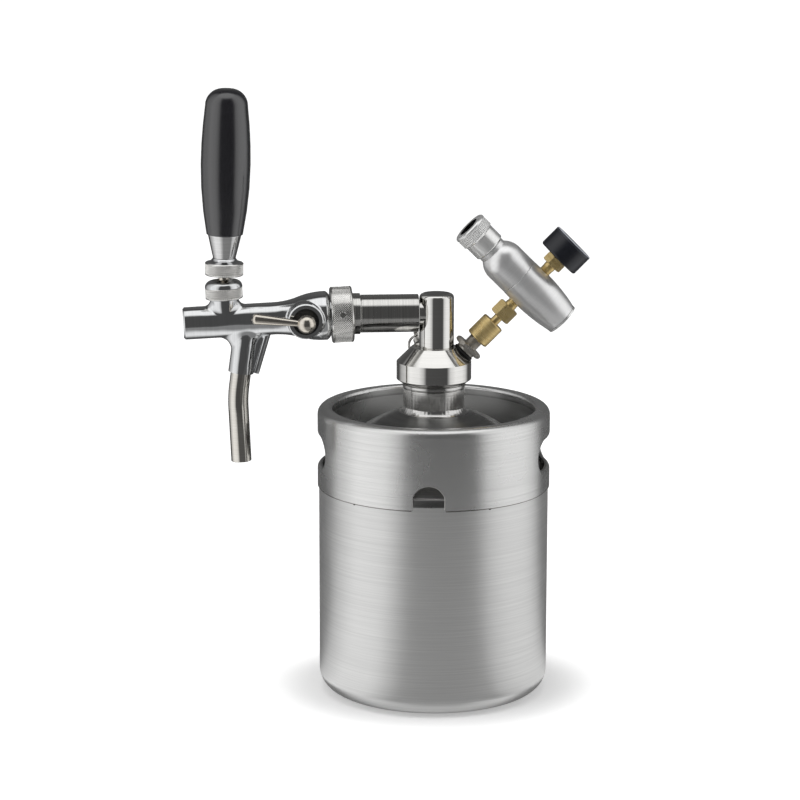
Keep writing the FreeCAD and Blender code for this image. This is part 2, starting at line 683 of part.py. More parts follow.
class Layout:
    """Heights that several sub-parts share, and the frames that they are built in."""

    def __init__(self, d):
        self.d = d
        self.crown_centre = d.shoulder_height - leg(d.crown - d.knuckle, d.body_radius - d.knuckle)
        self.dome_top = self.crown_centre + leg(d.crown, d.neck_radius)
        self.lip_top = self.dome_top + d.neck_length
        self.neck_top = self.lip_top + d.thread_length
        self.head_bottom = self.lip_top + d.head_gap
        self.ceiling = self.neck_top + d.seal_gap + d.neck_seal
        self.cone_foot = self.head_bottom + d.head_chamfer + d.head_band
        self.cone_top = self.cone_foot + (d.head_radius - d.head_top)
        self.arm_height = self.cone_top + d.arm_rise
        self.port_height = self.cone_foot + (d.head_radius - d.port_radius)
        self.collar_bottom = d.shoulder_height - d.collar_lap
        self.collar_inner = d.body_radius + d.fixed_gap
        self.collar_radius = self.collar_inner + d.collar_sheet
        dip = d.shank_radius * math.sin(math.radians(d.droop.value))
        self.washer_start = d.shank_length + dip + d.seal_gap
        self.disc_start = self.washer_start + d.washer_thickness + d.fixed_gap
        self.disc_end = self.disc_start + d.tail_disc
        self.nut_end = d.nut_start + d.nut_width
        self.opening_angle = 26.0

    def keg(self):
        return frame_at((0, 0, 0), (Z_AXIS, self.d.keg_turn.value))

    def centre(self):
        return frame_at((0, 0, 0))

    def post(self):
        return frame_at((self.d.post_offset.value, 0, 0))

    def arm(self):
        """Z along the arm, away from the keg."""
        return frame_at((0, 0, self.arm_height.value), (Y_AXIS, -90))

    def port(self, azimuth):
        """Z along a port, outward from the cone."""
        radius = self.d.port_radius.value
        angle = math.radians(azimuth)
        point = (radius * math.cos(angle), radius * math.sin(angle), self.port_height.value)
        return frame_at(point, (Z_AXIS, azimuth), (Y_AXIS, self.d.port_tilt.value))

    def gas(self):
        return self.port(0)

    def relief(self):
        return self.port(self.d.relief_angle.value)

    def regulator(self):
        """Z along the regulator, from the cartridge mouth to the pressure screw."""
        d = self.d
        mouth = FreeCAD.Vector(-d.mouth_reach.value, 0, d.regulator_reach.value)
        inner = FreeCAD.Placement(mouth, turn_about(Y_AXIS, 90))
        return self.gas().multiply(inner)

    def tap(self):
        """X along the barrel away from the keg, Y towards the flow lever, Z up."""
        point = (-self.d.arm_reach.value, 0, self.arm_height.value)
        return frame_at(point, (Y_AXIS, -self.d.droop.value), (Z_AXIS, 180))

    def barrel(self):
        """Z along the barrel, away from the keg."""
        return self.tap().multiply(frame_at((0, 0, 0), (Y_AXIS, 90)))

    def bonnet(self):
        """Z up through the lever, origin on the barrel axis."""
        return self.tap().multiply(frame_at((self.d.bonnet_x.value, 0, 0)))

    def lever(self):
        """Z along the closed lever, origin at the centre of its ball."""
        pivot = (0, 0, self.d.pivot_height.value)
        return self.bonnet().multiply(frame_at(pivot, (Y_AXIS, -self.d.lever_lean.value)))

    def spout(self):
        """Z up along the leaning boss, origin at the centre of its foot."""
        foot = (self.d.spout_foot_x.value, 0, -self.d.spout_foot_drop.value)
        return self.tap().multiply(frame_at(foot, (Y_AXIS, -self.d.spout_tilt.value)))

    def flow(self):
        """Z along the flow lever's shaft towards the user, X along the barrel, origin on its axis."""
        return self.tap().multiply(frame_at((self.d.flow_x.value, 0, 0), (X_AXIS, -90)))


# ---------------------------------------------------------------- keg
def keg_body(d, at):
    wall = d.body_radius - d.sheet
    inner_edge = d.base_edge - d.sheet
    floor = d.recess_depth + d.sheet
    return turned("keg_body", at.keg(), [
        (0, d.recess_depth),
        (d.recess_radius, d.recess_depth),
        (d.foot_radius, 0),
        (d.body_radius - d.base_edge, 0),
        left(d.body_radius, d.base_edge, d.base_edge),
        (d.body_radius, d.shoulder_height),
        (wall, d.shoulder_height),
        (wall, d.base_edge),
        right(wall - inner_edge, d.sheet, inner_edge),
        (d.foot_radius, d.sheet),
        (d.recess_radius, floor),
        (0, floor),
    ])


def keg_dome(d, at):
    """Knuckle and crown arcs, tangent where the line through both centres meets them."""
    centre_x = d.body_radius - d.knuckle
    reach = d.crown - d.knuckle
    rise = leg(reach, centre_x)

    def meeting(radius):
        return centre_x + radius * centre_x / reach, d.shoulder_height + radius * rise / reach

    hole = d.neck_radius + d.fixed_gap
    inner_crown = d.crown - d.sheet
    inner_knuckle = d.knuckle - d.sheet
    outer_x, outer_z = meeting(d.knuckle)
    inner_x, inner_z = meeting(inner_knuckle)
    return turned("keg_dome", at.keg(), [
        (d.body_radius, d.shoulder_height),
        left(outer_x, outer_z, d.knuckle),
        left(hole, at.crown_centre + leg(d.crown, hole), d.crown),
        (hole, at.crown_centre + leg(inner_crown, hole)),
        right(inner_x, inner_z, inner_crown),
        right(d.body_radius - d.sheet, d.shoulder_height, inner_knuckle),
    ])


def keg_neck(d, at):
    bead_foot = at.crown_centre + leg(d.crown, d.weld_radius) + d.fixed_gap
    bead_root = at.dome_top + d.fixed_gap
    lip = d.neck_radius + d.lip_rise
    groove = d.neck_radius - d.groove_depth
    lip_foot = at.lip_top - d.lip_width
    bottom = at.dome_top - d.neck_sunk
    bead_side = d.weld_radius - d.neck_radius
    return turned("keg_neck", at.keg(), [
        (d.neck_bore, bottom),
        (d.neck_radius, bottom),
        (d.neck_radius, bead_root),
        (d.weld_radius, bead_foot),
        right(d.neck_radius, bead_root + d.weld_rise, bead_side + d.weld_rise),
        (d.neck_radius, lip_foot - d.groove_width),
        (groove, lip_foot - d.groove_width / 2),
        (lip, lip_foot),
        (lip, at.lip_top),
        (d.thread_radius, at.lip_top),
        (d.thread_radius, at.neck_top),
        (d.neck_bore, at.neck_top),
    ])


def pill(width, height, level, near_x, far_x):
    """A prism with round ends that lies along X, for cutting a hand hole."""
    radius = height / 2
    straight = width / 2 - radius
    corners = [
        FreeCAD.Vector(near_x, -straight, level - radius),
        FreeCAD.Vector(near_x, straight, level - radius),
        FreeCAD.Vector(near_x, straight, level + radius),
        FreeCAD.Vector(near_x, -straight, level + radius),
    ]
    far_end = FreeCAD.Vector(near_x, width / 2, level)
    near_end = FreeCAD.Vector(near_x, -width / 2, level)
    edges = [
        Part.makeLine(corners[0], corners[1]),
        Part.Arc(corners[1], far_end, corners[2]).toShape(),
        Part.makeLine(corners[2], corners[3]),
        Part.Arc(corners[3], near_end, corners[0]).toShape(),
    ]
    return Part.Face(Part.Wire(edges)).extrude(FreeCAD.Vector(far_x - near_x, 0, 0))


def collar_form(d, at, inset):
    """The solid that fills the collar's outer surface, or its inner one when inset is the sheet."""
    radius = at.collar_radius.value - inset
    bottom = at.collar_bottom.value
    top = bottom + d.collar_height.value - inset
    level = bottom + d.grip_level.value
    form = Part.makeCylinder(radius, top - bottom, FreeCAD.Vector(0, 0, bottom))
    rim = [edge for edge in form.Edges if near(edge.BoundBox.ZMin, top)]
    form = form.makeFillet(d.rim_corner.value - inset, rim)
    core = Part.makeCylinder(at.collar_radius.value - d.grip_depth.value, 2 * top)
    width = d.grip_width.value + 2 * inset
    height = d.grip_height.value + 2 * inset
    for side in (-1, 1):
        form = form.cut(pill(width, height, level, side * radius / 2, side * radius * 2).cut(core))
    lips = [edge for edge in form.Edges if is_grip_edge(edge, radius, level, height)]
    return form.makeFillet(d.grip_lip.value - inset, lips)


def is_grip_edge(edge, radius, level, height):
    """True for an edge on the collar's surface round a hand hole."""
    share = (0.0, 0.37, 0.5, 1.0)
    span = edge.LastParameter - edge.FirstParameter
    points = [edge.valueAt(edge.FirstParameter + span * part) for part in share]
    on_wall = all(near(math.hypot(point.x, point.y), radius) for point in points)
    return on_wall and all(abs(point.z - level) < height / 2 + 1e-3 for point in points)


def handle_collar(d, at):
    """Rolled sheet: the outer form less the inner form, opened at the rim, arch and hand holes."""
    sheet = d.collar_sheet.value
    bottom = at.collar_bottom.value
    top = bottom + d.collar_height.value
    radius = at.collar_radius.value
    shell = collar_form(d, at, 0).cut(collar_form(d, at, sheet))
    opening = radius - d.rim_band.value
    shell = shell.cut(Part.makeCylinder(opening + d.curl.value, top, FreeCAD.Vector(0, 0, top - 2 * sheet)))
    throat = Part.makeCylinder(radius - d.grip_depth.value, top)
    level = bottom + d.grip_level.value
    for side in (-1, 1):
        hole = pill(d.grip_width.value, d.grip_height.value, level, side * radius / 2, side * radius * 2)
        shell = shell.cut(hole.common(throat))
    shell = shell.fuse(curled_edge(d, opening, top)).cut(drain_arch(d, bottom, radius)).removeSplitter()
    collar = FreeCAD.ActiveDocument.addObject("Part::Feature", "handle_collar")
    collar.Label = "handle_collar"
    collar.Shape = shell.Solids[0]
    collar.Placement = at.keg()
    return collar


def curled_edge(d, opening, top):
    """The inner edge of the rim, rolled down into the well."""
    sheet, curl, drop = d.collar_sheet.value, d.curl.value, d.curl_drop.value
    outer_mid = curl * (1 - math.sqrt(0.5))
    inner_mid = sheet + (curl - sheet) * (1 - math.sqrt(0.5))
    tall = FreeCAD.Vector(opening, 0, top - curl)
    flat = FreeCAD.Vector(opening + curl, 0, top)
    under_flat = FreeCAD.Vector(opening + curl, 0, top - sheet)
    under_tall = FreeCAD.Vector(opening + sheet, 0, top - curl)
    foot_inner = FreeCAD.Vector(opening, 0, top - drop)
    foot_outer = FreeCAD.Vector(opening + sheet, 0, top - drop)
    edges = [
        Part.makeLine(foot_inner, tall),
        Part.Arc(tall, FreeCAD.Vector(opening + outer_mid, 0, top - outer_mid), flat).toShape(),
        Part.makeLine(flat, under_flat),
        Part.Arc(under_flat, FreeCAD.Vector(opening + inner_mid, 0, top - inner_mid), under_tall).toShape(),
        Part.makeLine(under_tall, foot_outer),
        Part.makeLine(foot_outer, foot_inner),
    ]
    return Part.Face(Part.Wire(edges)).revolve(ORIGIN, Z_AXIS, 360)


def drain_arch(d, bottom, radius):
    """The low arch cut in the bottom edge, towards the user."""
    half, side, height = d.arch_width.value / 2, d.arch_side.value, d.arch_height.value
    front = -2 * radius
    low = bottom - d.collar_lap.value
    points = [
        FreeCAD.Vector(-half, front, low),
        FreeCAD.Vector(-half, front, bottom + side),
        FreeCAD.Vector(0, front, bottom + height),
        FreeCAD.Vector(half, front, bottom + side),
        FreeCAD.Vector(half, front, low),
    ]
    edges = [
        Part.makeLine(points[0], points[1]),
        Part.Arc(points[1], points[2], points[3]).toShape(),
        Part.makeLine(points[3], points[4]),
        Part.makeLine(points[4], points[0]),
    ]
    return Part.Face(Part.Wire(edges)).extrude(FreeCAD.Vector(0, 2 * radius, 0))


# ---------------------------------------------------------------- head, post and arm
def head_body(d, at):
    thread = d.thread_radius + d.running
    body = turned("head_body", at.centre(), [
        (0, at.ceiling),
        (thread, at.ceiling),
        (thread, at.head_bottom),
        (d.head_foot, at.head_bottom),
        (d.head_radius, at.head_bottom + d.head_chamfer),
        (d.head_radius, at.cone_foot),
        (d.head_top, at.cone_top),
        (0, at.cone_top),
    ])
    tube_hole = d.tube_radius + d.fixed_gap
    tube_top = at.cone_top - d.tube_seat
    primitive(body, "SubtractiveCylinder", "tube_hole", (d.post_offset, 0, at.ceiling - d.sheet),
              Radius=tube_hole, Height=tube_top - at.ceiling + d.sheet)
    primitive(body, "SubtractiveCylinder", "beer_hole", (d.post_offset, 0, tube_top - d.fixed_gap),
              Radius=d.tube_radius - d.tube_wall, Height=d.tube_seat + d.sheet)
    primitive(body, "SubtractiveCylinder", "ring_groove", (d.post_offset, 0, ring_level(d, at) - d.tube_ring),
              Radius=tube_hole + 2 * d.tube_ring, Height=2 * d.tube_ring)
    cut_port(body, "gas", d, at.gas(), d.nipple_radius)
    cut_port(body, "relief", d, at.relief(), d.relief_thread)
    return body


def ring_level(d, at):
    return (at.ceiling + at.cone_top - d.tube_seat) / 2


def cut_port(body, name, d, frame, thread):
    """A spot-faced, screwed port with a drilled way to the space above the beer."""
    def into(depth):
        return frame.multiply(FreeCAD.Placement(FreeCAD.Vector(0, 0, -depth), NO_TURN))

    seat = d.spot_depth
    floor = d.spot_depth + d.nipple_depth + d.seal_gap
    way = floor + 2 * d.nipple_depth
    cuts = [
        ("spot", seat, d.spot_radius),
        ("thread", floor, thread + d.fixed_gap),
        ("way", way, d.gas_way),
    ]
    for step, depth, radius in cuts:
        hole = primitive(body, "SubtractiveCylinder", f"{name}_{step}",
                         Radius=radius, Height=depth + d.spot_radius)
        hole.Placement = into(depth.value)


def neck_seal(d, at):
    level = at.neck_top + d.seal_gap
    outer = d.thread_radius - d.fixed_gap
    return turned("neck_seal", at.centre(), [
        (d.neck_bore, level),
        (outer, level),
        (outer, at.ceiling),
        (d.neck_bore, at.ceiling),
    ])


def dip_tube(d, at):
    top = at.cone_top - d.tube_seat
    bottom = d.recess_depth + d.sheet + d.tube_floor
    bore = d.tube_radius - d.tube_wall
    return turned("dip_tube", at.post(), [
        (bore, bottom),
        (d.tube_radius, bottom),
        (d.tube_radius, top - d.fixed_gap),
        (bore, top - d.fixed_gap),
    ])


def dip_tube_ring(d, at):
    return torus("dip_tube_o_ring", at.post(), ring_level(d, at),
                 d.tube_radius + d.fixed_gap + d.tube_ring, d.tube_ring)


def outlet_post(d, at):
    top = at.cone_top + d.post_height
    body = turned("outlet_post", at.post(), [
        (d.beer_bore, at.cone_top),
        (d.post_radius, at.cone_top),
        (d.post_radius, top - d.post_edge),
        left(d.post_radius - d.post_edge, top, d.post_edge),
        (0, top),
        (0, at.arm_height + d.beer_bore),
        (d.beer_bore, at.arm_height + d.beer_bore),
    ])
    primitive(body, "SubtractiveCylinder", "arm_socket", (0, 0, at.arm_height), turn_about(Y_AXIS, -90),
              Radius=d.arm_spigot + d.fixed_gap, Height=2 * d.post_radius)
    return body


def outlet_arm(d, at):
    """Spigot, arm, end ring and screwed end, with the spigot ending in the post's bore."""
    shoulder = d.post_radius - d.post_offset + d.arm_shoulder
    start = d.beer_bore + d.fixed_gap - d.post_offset
    ring = d.arm_reach - d.ring_width
    groove = d.arm_radius - d.ring_groove
    body = turned("outlet_arm", at.arm(), [
        (d.beer_bore, start),
        (d.arm_spigot, start),
        (d.arm_spigot, shoulder),
        (d.arm_radius, shoulder),
        (d.arm_radius, ring - d.ring_groove),
        (groove, ring - d.ring_groove),
        (groove, ring),
        (d.ring_radius, ring),
        (d.ring_radius, d.arm_reach),
        (d.shank_radius, d.arm_reach),
        (d.shank_radius, d.arm_reach + d.shank_length),
        (d.beer_bore, d.arm_reach + d.shank_length),
    ])
    return body


# ---------------------------------------------------------------- gas inlet and check valve
def seat_level(d):
    return -d.spot_depth


def washer_level(d):
    return seat_level(d) + 2 * d.gas_ring


def lock_nut_level(d):
    return washer_level(d) + d.gas_washer


def gas_nipple(d, at):
    bottom = seat_level(d) - d.nipple_depth
    return turned("gas_nipple", at.gas(), [
        (d.nipple_bore, bottom),
        (d.nipple_radius, bottom),
        (d.nipple_radius, d.nipple_reach - d.tail_washer),
        (d.nipple_radius - d.tail_washer, d.nipple_reach),
        (d.gas_way, d.nipple_reach),
        (d.gas_way, d.poppet_seat),
        (d.nipple_bore, d.poppet_seat),
    ])


def gas_o_ring(d, at):
    return torus("gas_o_ring", at.gas(), seat_level(d) + d.gas_ring,
                 d.nipple_radius + d.fixed_gap + d.gas_ring, d.gas_ring)


def gas_washer(d, at):
    level = washer_level(d)
    bore = d.nipple_radius + d.fixed_gap
    return turned("gas_washer", at.gas(), [
        (bore, level),
        (d.gas_washer_radius, level),
        (d.gas_washer_radius, level + d.gas_washer),
        (bore, level + d.gas_washer),
    ])


def gas_lock_nut(d, at):
    body = new_body("gas_lock_nut", at.gas())
    level = lock_nut_level(d)
    hexagon(body, "lock_nut_hex", d.lock_nut_flat, d.lock_nut_height, (0, 0, level))
    primitive(body, "SubtractiveCylinder", "lock_nut_bore", (0, 0, level - d.sheet),
              Radius=d.nipple_radius + d.fixed_gap, Height=d.lock_nut_height + 2 * d.sheet)
    return body


def check_foot(d):
    return d.poppet_seat - d.fixed_gap - d.poppet_length


def check_poppet(d, at):
    """Plunger under the seat: gas pushes it towards the keg, the spring pushes it back."""
    foot = check_foot(d)
    nose = d.poppet_radius - d.gas_way
    return turned("check_valve_plunger", at.gas(), [
        (0, foot),
        (d.gas_way, foot),
        (d.poppet_radius, foot + nose),
        (d.poppet_radius, foot + d.poppet_length),
        (0, foot + d.poppet_length),
    ])


def check_spring(d, at):
    """Spring between the floor of the port and the plunger."""
    level = -(d.spot_depth + d.nipple_depth + d.seal_gap)
    return coil("check_valve_spring", at.gas(), level, check_foot(d) - d.fixed_gap - level,
                d.nipple_bore - 2 * d.check_wire - d.fixed_gap, d.check_wire, d.check_turns)


def tail_start(d):
    return d.nipple_reach + d.tail_washer + d.fixed_gap


def tail_washer(d, at):
    level = d.nipple_reach
    return turned("swivel_washer", at.gas(), [
        (d.gas_way, level),
        (d.tail_flange_radius - d.tail_washer, level),
        (d.tail_flange_radius - d.tail_washer, level + d.tail_washer),
        (d.gas_way, level + d.tail_washer),
    ])


def swivel_nut(d, at):
    """Free to spin: a thread round the nipple and a lip behind the tail's flange."""
    end = d.swivel_start + d.swivel_length
    shoulder = end - d.swivel_lip
    bore = d.nipple_radius + d.running
    throat = d.tail_neck + d.running
    edge = d.swivel_chamfer
    return turned("swivel_nut", at.gas(), [
        (bore, d.swivel_start),
        (d.swivel_radius - edge, d.swivel_start),
        left(d.swivel_radius, d.swivel_start + edge, edge),
        (d.swivel_radius, end - edge),
        left(d.swivel_radius - edge, end, edge),
        (throat, end),
        (throat, shoulder),
        (bore, shoulder),
    ])


def gas_tail(d, at):
    """Flange, neck, hexagon and stub of the brass tail, turned and milled from one bar."""
    start = tail_start(d)
    flange_end = start + d.tail_flange
    hex_end = d.tail_neck_end + d.tail_hex
    stub_end = d.regulator_reach - d.port_depth - d.seal_gap
    body = turned("gas_tail", at.gas(), [
        (d.gas_way, start),
        (d.tail_flange_radius, start),
        (d.tail_flange_radius, flange_end),
        (d.tail_neck, flange_end),
        (d.tail_neck, d.tail_neck_end),
        (d.stub_radius, d.tail_neck_end),
        (d.stub_radius, stub_end),
        (d.gas_way, stub_end),
    ])
    hexagon(body, "tail_hex_body", d.tail_hex_flat, hex_end - d.tail_neck_end, (0, 0, d.tail_neck_end))
    primitive(body, "SubtractiveCylinder", "tail_bore", (0, 0, start - d.sheet),
              Radius=d.gas_way, Height=stub_end - start + 2 * d.sheet)
    return body


# ---------------------------------------------------------------- relief valve
def relief_top(d):
    return seat_level(d) + d.relief_hex + d.relief_barrel_length


def relief_body(d, at):
    bottom = seat_level(d) - d.nipple_depth
    top = relief_top(d)
    body = turned("relief_valve_body", at.relief(), [
        (d.gas_way, bottom),
        (d.relief_thread, bottom),
        (d.relief_thread, seat_level(d)),
        (d.relief_barrel, seat_level(d)),
        (d.relief_barrel, top),
        (d.relief_stem + d.running, top),
        (d.relief_stem + d.running, top - d.sheet),
        (d.relief_bore, top - d.sheet),
        (d.relief_bore, bottom + d.sheet),
        (d.gas_way, bottom + d.sheet),
    ])
    hexagon(body, "relief_hex_body", d.relief_flat, d.relief_hex, (0, 0, seat_level(d)))
    primitive(body, "SubtractiveCylinder", "relief_chamber", (0, 0, bottom + d.sheet),
              Radius=d.relief_bore, Height=top - bottom - 2 * d.sheet)
    return body


def relief_disc_level(d):
    return seat_level(d) - d.nipple_depth + d.sheet + d.seal_gap


def relief_seal(d, at):
    level = relief_disc_level(d)
    seal_radius = d.relief_bore - d.running
    return turned("relief_valve_seal", at.relief(), [
        (0, level),
        (seal_radius, level),
        (seal_radius, level + d.sheet),
        (0, level + d.sheet),
    ])


def relief_stem(d, at):
    """Disc and stem of the plunger, with a flat drilled tab for the pull ring."""
    level = relief_disc_level(d) + d.sheet + d.fixed_gap
    disc = d.relief_bore - d.running
    tab_foot = relief_top(d) + d.running
    body = turned("relief_valve_stem", at.relief(), [
        (0, level),
        (disc, level),
        (disc, level + d.sheet),
        (d.relief_stem, level + d.sheet),
        (d.relief_stem, tab_foot + d.sheet),
        (0, tab_foot + d.sheet),
    ])
    primitive(body, "AdditiveBox", "tab", (-d.tab_width / 2, -d.tab_thickness / 2, tab_foot),
              Length=d.tab_width, Width=d.tab_thickness, Height=d.tab_height)
    primitive(body, "SubtractiveCylinder", "tab_eye", (0, d.tab_width, tab_foot + d.tab_height / 2),
              turn_about(X_AXIS, 90), Radius=d.tab_hole, Height=2 * d.tab_width)
    return body


def relief_spring(d, at):
    level = relief_disc_level(d) + 2 * d.sheet + d.fixed_gap + d.seal_gap
    top = relief_top(d) - d.sheet - d.seal_gap
    mean = d.relief_bore - d.relief_wire - d.running
    return coil("relief_valve_spring", at.relief(), level, top - level, mean, d.relief_wire, d.relief_turns)


def pull_ring(d, at):
    """A two-turn ring that hangs through the tab's eye, in a vertical plane."""
    slack = leg(d.tab_hole - d.pull_ring_wire - d.seal_gap, d.pull_ring_pitch)
    eye = FreeCAD.Vector(0, 0, eye_level(d).value)
    hang = FreeCAD.Placement(eye, turn_about(Y_AXIS, 90 - d.port_tilt.value))
    drop = FreeCAD.Placement(FreeCAD.Vector(d.pull_ring_radius.value + slack.value, 0, 0), NO_TURN)
    body = new_body("relief_pull_ring", at.relief().multiply(hang).multiply(drop))
    for name, side in (("inner", -1), ("outer", 1)):
        primitive(body, "AdditiveTorus", f"{name}_turn", (0, 0, side * d.pull_ring_pitch),
                  Radius1=d.pull_ring_radius, Radius2=d.pull_ring_wire)
    return body


def eye_level(d):
    return relief_top(d) + d.running + d.tab_height / 2


# ---------------------------------------------------------------- regulator
def cartridge_collar(d, at):
    socket = d.spigot_radius + d.fixed_gap
    runout = d.cartridge_bore + d.runout_depth
    floor = d.cartridge_depth + d.runout_length
    edge = d.knurl_edge
    return turned("cartridge_collar", at.regulator(), [
        (d.cartridge_bore, 0),
        (d.knurl_radius - edge, 0),
        (d.knurl_radius, edge),
        (d.knurl_radius, d.knurl_length - edge),
        (d.sleeve_radius, d.knurl_length),
        (d.sleeve_radius, d.sleeve_end),
        (socket, d.sleeve_end),
        (socket, floor),
        (runout, floor),
        (runout, d.cartridge_depth),
        (d.cartridge_bore, d.cartridge_depth),
    ])


def cartridge_seal(d, at):
    end = d.spigot_start
    outer = d.spigot_radius - d.fixed_gap
    bore = d.pin_radius + d.fixed_gap
    return turned("cartridge_gasket", at.regulator(), [
        (bore, end - d.cartridge_seal),
        (outer, end - d.cartridge_seal),
        (outer, end),
        (bore, end),
    ])


def piercing_pin(d, at):
    """Hollow point: the bore cuts the cone off where the two radii meet."""
    start = d.spigot_start
    return turned("piercing_pin", at.regulator(), [
        (d.pin_bore, start - d.pin_point + d.pin_point * d.pin_bore / d.pin_tip),
        (d.pin_tip, start),
        (d.pin_radius, start),
        (d.pin_radius, start + d.pin_length),
        (d.pin_bore, start + d.pin_length),
    ])


def above_port(d, distance):
    """A level of the regulator that is set from its port axis, measured from the mouth."""
    return d.mouth_reach - distance


def below_port(d, distance):
    return d.mouth_reach + distance


def regulator_dome(d, at):
    """Spigot, neck and spherical shoulder down to the seam."""
    bore = d.pin_radius + d.fixed_gap
    joint = d.joint_radius + d.fixed_gap
    seam = above_port(d, d.seam)
    joint_top = seam - d.joint_length
    shoulder = d.dome_centre - leg(d.dome_radius, d.dome_neck)
    return turned("regulator_dome", at.regulator(), [
        (bore, d.spigot_start),
        (d.spigot_radius, d.spigot_start),
        (d.spigot_radius, d.dome_step),
        (d.dome_neck, d.dome_step),
        (d.dome_neck, shoulder),
        left(d.dome_radius, d.dome_centre, d.dome_radius),
        (d.dome_radius, seam),
        (joint, seam),
        (joint, joint_top),
        (bore, joint_top),
    ])


def regulator_body(d, at):
    """Lower half: screwed joint, two ports, valve chamber, piston bore."""
    start = above_port(d, d.seam) - d.joint_length + d.seal_gap
    shoulder = above_port(d, d.seam) + d.seam_gap
    end = below_port(d, d.body_end)
    bore_floor = below_port(d, d.pressure_floor)
    chamber_top = above_port(d, d.chamber_top)
    valve_seat = above_port(d, d.valve_seat)
    taper = tangent_arc(d.body_end - d.waist, d.waist_radius - d.end_radius)
    body = turned("regulator_body", at.regulator(), [
        (d.valve_bore, start),
        (d.joint_radius, start),
        (d.joint_radius, shoulder),
        (d.dome_radius, shoulder),
        (d.waist_radius, below_port(d, d.waist)),
        left(d.end_radius, end, taper),
        (d.pressure_bore, end),
        (d.pressure_bore, bore_floor),
        (d.chamber_radius, bore_floor),
        (d.chamber_radius, chamber_top),
        (d.orifice, chamber_top),
        (d.orifice, valve_seat),
        (d.valve_bore, valve_seat),
    ])
    thread = d.stub_radius + d.fixed_gap
    for name, turn in (("inlet", 90), ("gauge", -90)):
        port = primitive(body, "SubtractiveCylinder", f"{name}_port", Radius=thread, Height=d.waist_radius)
        port.Placement = side_way(d, turn, d.port_depth.value)
        way = primitive(body, "SubtractiveCylinder", f"{name}_way", Radius=d.gas_way, Height=d.waist_radius)
        way.Placement = side_way(d, turn, d.gas_way.value)
    return body


def side_way(d, turn, start):
    """Placement of a hole square to the regulator, from start outwards."""
    spin = turn_about(Y_AXIS, turn)
    offset = spin.multVec(FreeCAD.Vector(0, 0, start))
    return FreeCAD.Placement(FreeCAD.Vector(0, 0, d.mouth_reach.value).add(offset), spin)


def inlet_valve(d, at):
    """Plunger under the high-pressure seat, with a stem that reaches the piston."""
    face = above_port(d, d.valve_seat) - d.seal_gap
    return turned("inlet_valve", at.regulator(), [
        (0, face - d.inlet_length),
        (d.inlet_poppet, face - d.inlet_length),
        (d.inlet_poppet, face),
        (d.inlet_stem, face),
        (d.inlet_stem, piston_level(d) - d.fixed_gap),
        (0, piston_level(d) - d.fixed_gap),
    ])


def inlet_spring(d, at):
    level = above_port(d, d.seam) - d.joint_length + d.running
    top = above_port(d, d.valve_seat) - 2 * d.seal_gap - d.inlet_length
    return coil("inlet_valve_spring", at.regulator(), level, top - level,
                d.inlet_poppet - d.inlet_wire, d.inlet_wire, d.inlet_turns)


def piston_level(d):
    return below_port(d, d.pressure_floor) + d.piston_travel + d.seal_gap


def pressure_piston(d, at):
    level = piston_level(d)
    end = level + d.piston_length
    outer = d.pressure_bore - d.running
    middle = (level + end) / 2
    half = d.piston_ring + d.seal_gap
    floor = outer - 2 * d.piston_ring
    return turned("pressure_piston", at.regulator(), [
        (0, level),
        (outer, level),
        (outer, middle - half),
        (floor, middle - half),
        (floor, middle + half),
        (outer, middle + half),
        (outer, end),
        (0, end),
    ])


def piston_o_ring(d, at):
    middle = piston_level(d) + d.piston_length / 2
    ring = d.pressure_bore - d.seal_gap - d.piston_ring
    return torus("piston_o_ring", at.regulator(), middle, ring, d.piston_ring)


def adjuster_level(d):
    return below_port(d, d.body_end) - d.adjuster_depth


def main_spring(d, at):
    level = piston_level(d) + d.piston_length + d.seal_gap
    height = adjuster_level(d) - d.seal_gap - level
    return coil("pressure_spring", at.regulator(), level, height, d.main_spring, d.main_wire, d.main_turns)


def pressure_screw(d, at):
    """Screwed plug with a slightly domed head and a coin slot, at the lower end."""
    head = below_port(d, d.body_end) + d.running
    rim = head + d.adjuster_head
    thread = d.pressure_bore - d.running
    outer = d.end_radius - d.seal_gap
    crown = (outer * outer + d.adjuster_crown * d.adjuster_crown) / (2 * d.adjuster_crown)
    top = rim + d.adjuster_crown
    body = turned("pressure_screw", at.regulator(), [
        (0, adjuster_level(d)),
        (thread, adjuster_level(d)),
        (thread, head),
        (outer, head),
        (outer, rim),
        left(0, top, crown),
    ])
    primitive(body, "SubtractiveBox", "coin_slot",
              (-d.coin_slot_length / 2, -d.coin_slot / 2, top - d.coin_slot_depth),
              Length=d.coin_slot_length, Width=d.coin_slot, Height=2 * d.coin_slot_depth)
    return body


# ---------------------------------------------------------------- pressure gauge
def gauge_stem(d, at):
    start = d.regulator_reach + d.port_depth + d.seal_gap
    hex_start = d.gauge_start - d.gauge_hex
    end = d.gauge_start + d.gauge_floor + d.movement_plate
    body = turned("gauge_stem", at.gas(), [
        (0, start),
        (d.stub_radius, start),
        (d.stub_radius, d.gauge_start),
        (d.gauge_spigot, d.gauge_start),
        (d.gauge_spigot, end),
        (0, end),
    ])
    hexagon(body, "gauge_hex_body", d.gauge_hex_flat, d.gauge_hex, (0, 0, hex_start))
    primitive(body, "SubtractiveCylinder", "gauge_bore", (0, 0, start - d.sheet),
              Radius=d.gas_way, Height=end - start)
    return body


def gauge_case(d, at):
    back = d.gauge_start
    front = back + d.gauge_depth
    hole = d.gauge_spigot + d.fixed_gap
    inner = d.gauge_radius - d.gauge_wall
    return turned("gauge_case", at.gas(), [
        (hole, back),
        (d.gauge_radius - d.gauge_edge, back),
        (d.gauge_radius, back + d.gauge_edge),
        (d.gauge_radius, front),
        (inner, front),
        (inner, back + d.gauge_floor),
        (hole, back + d.gauge_floor),
    ])


def movement_level(d):
    return d.gauge_start + d.gauge_floor + d.movement_plate


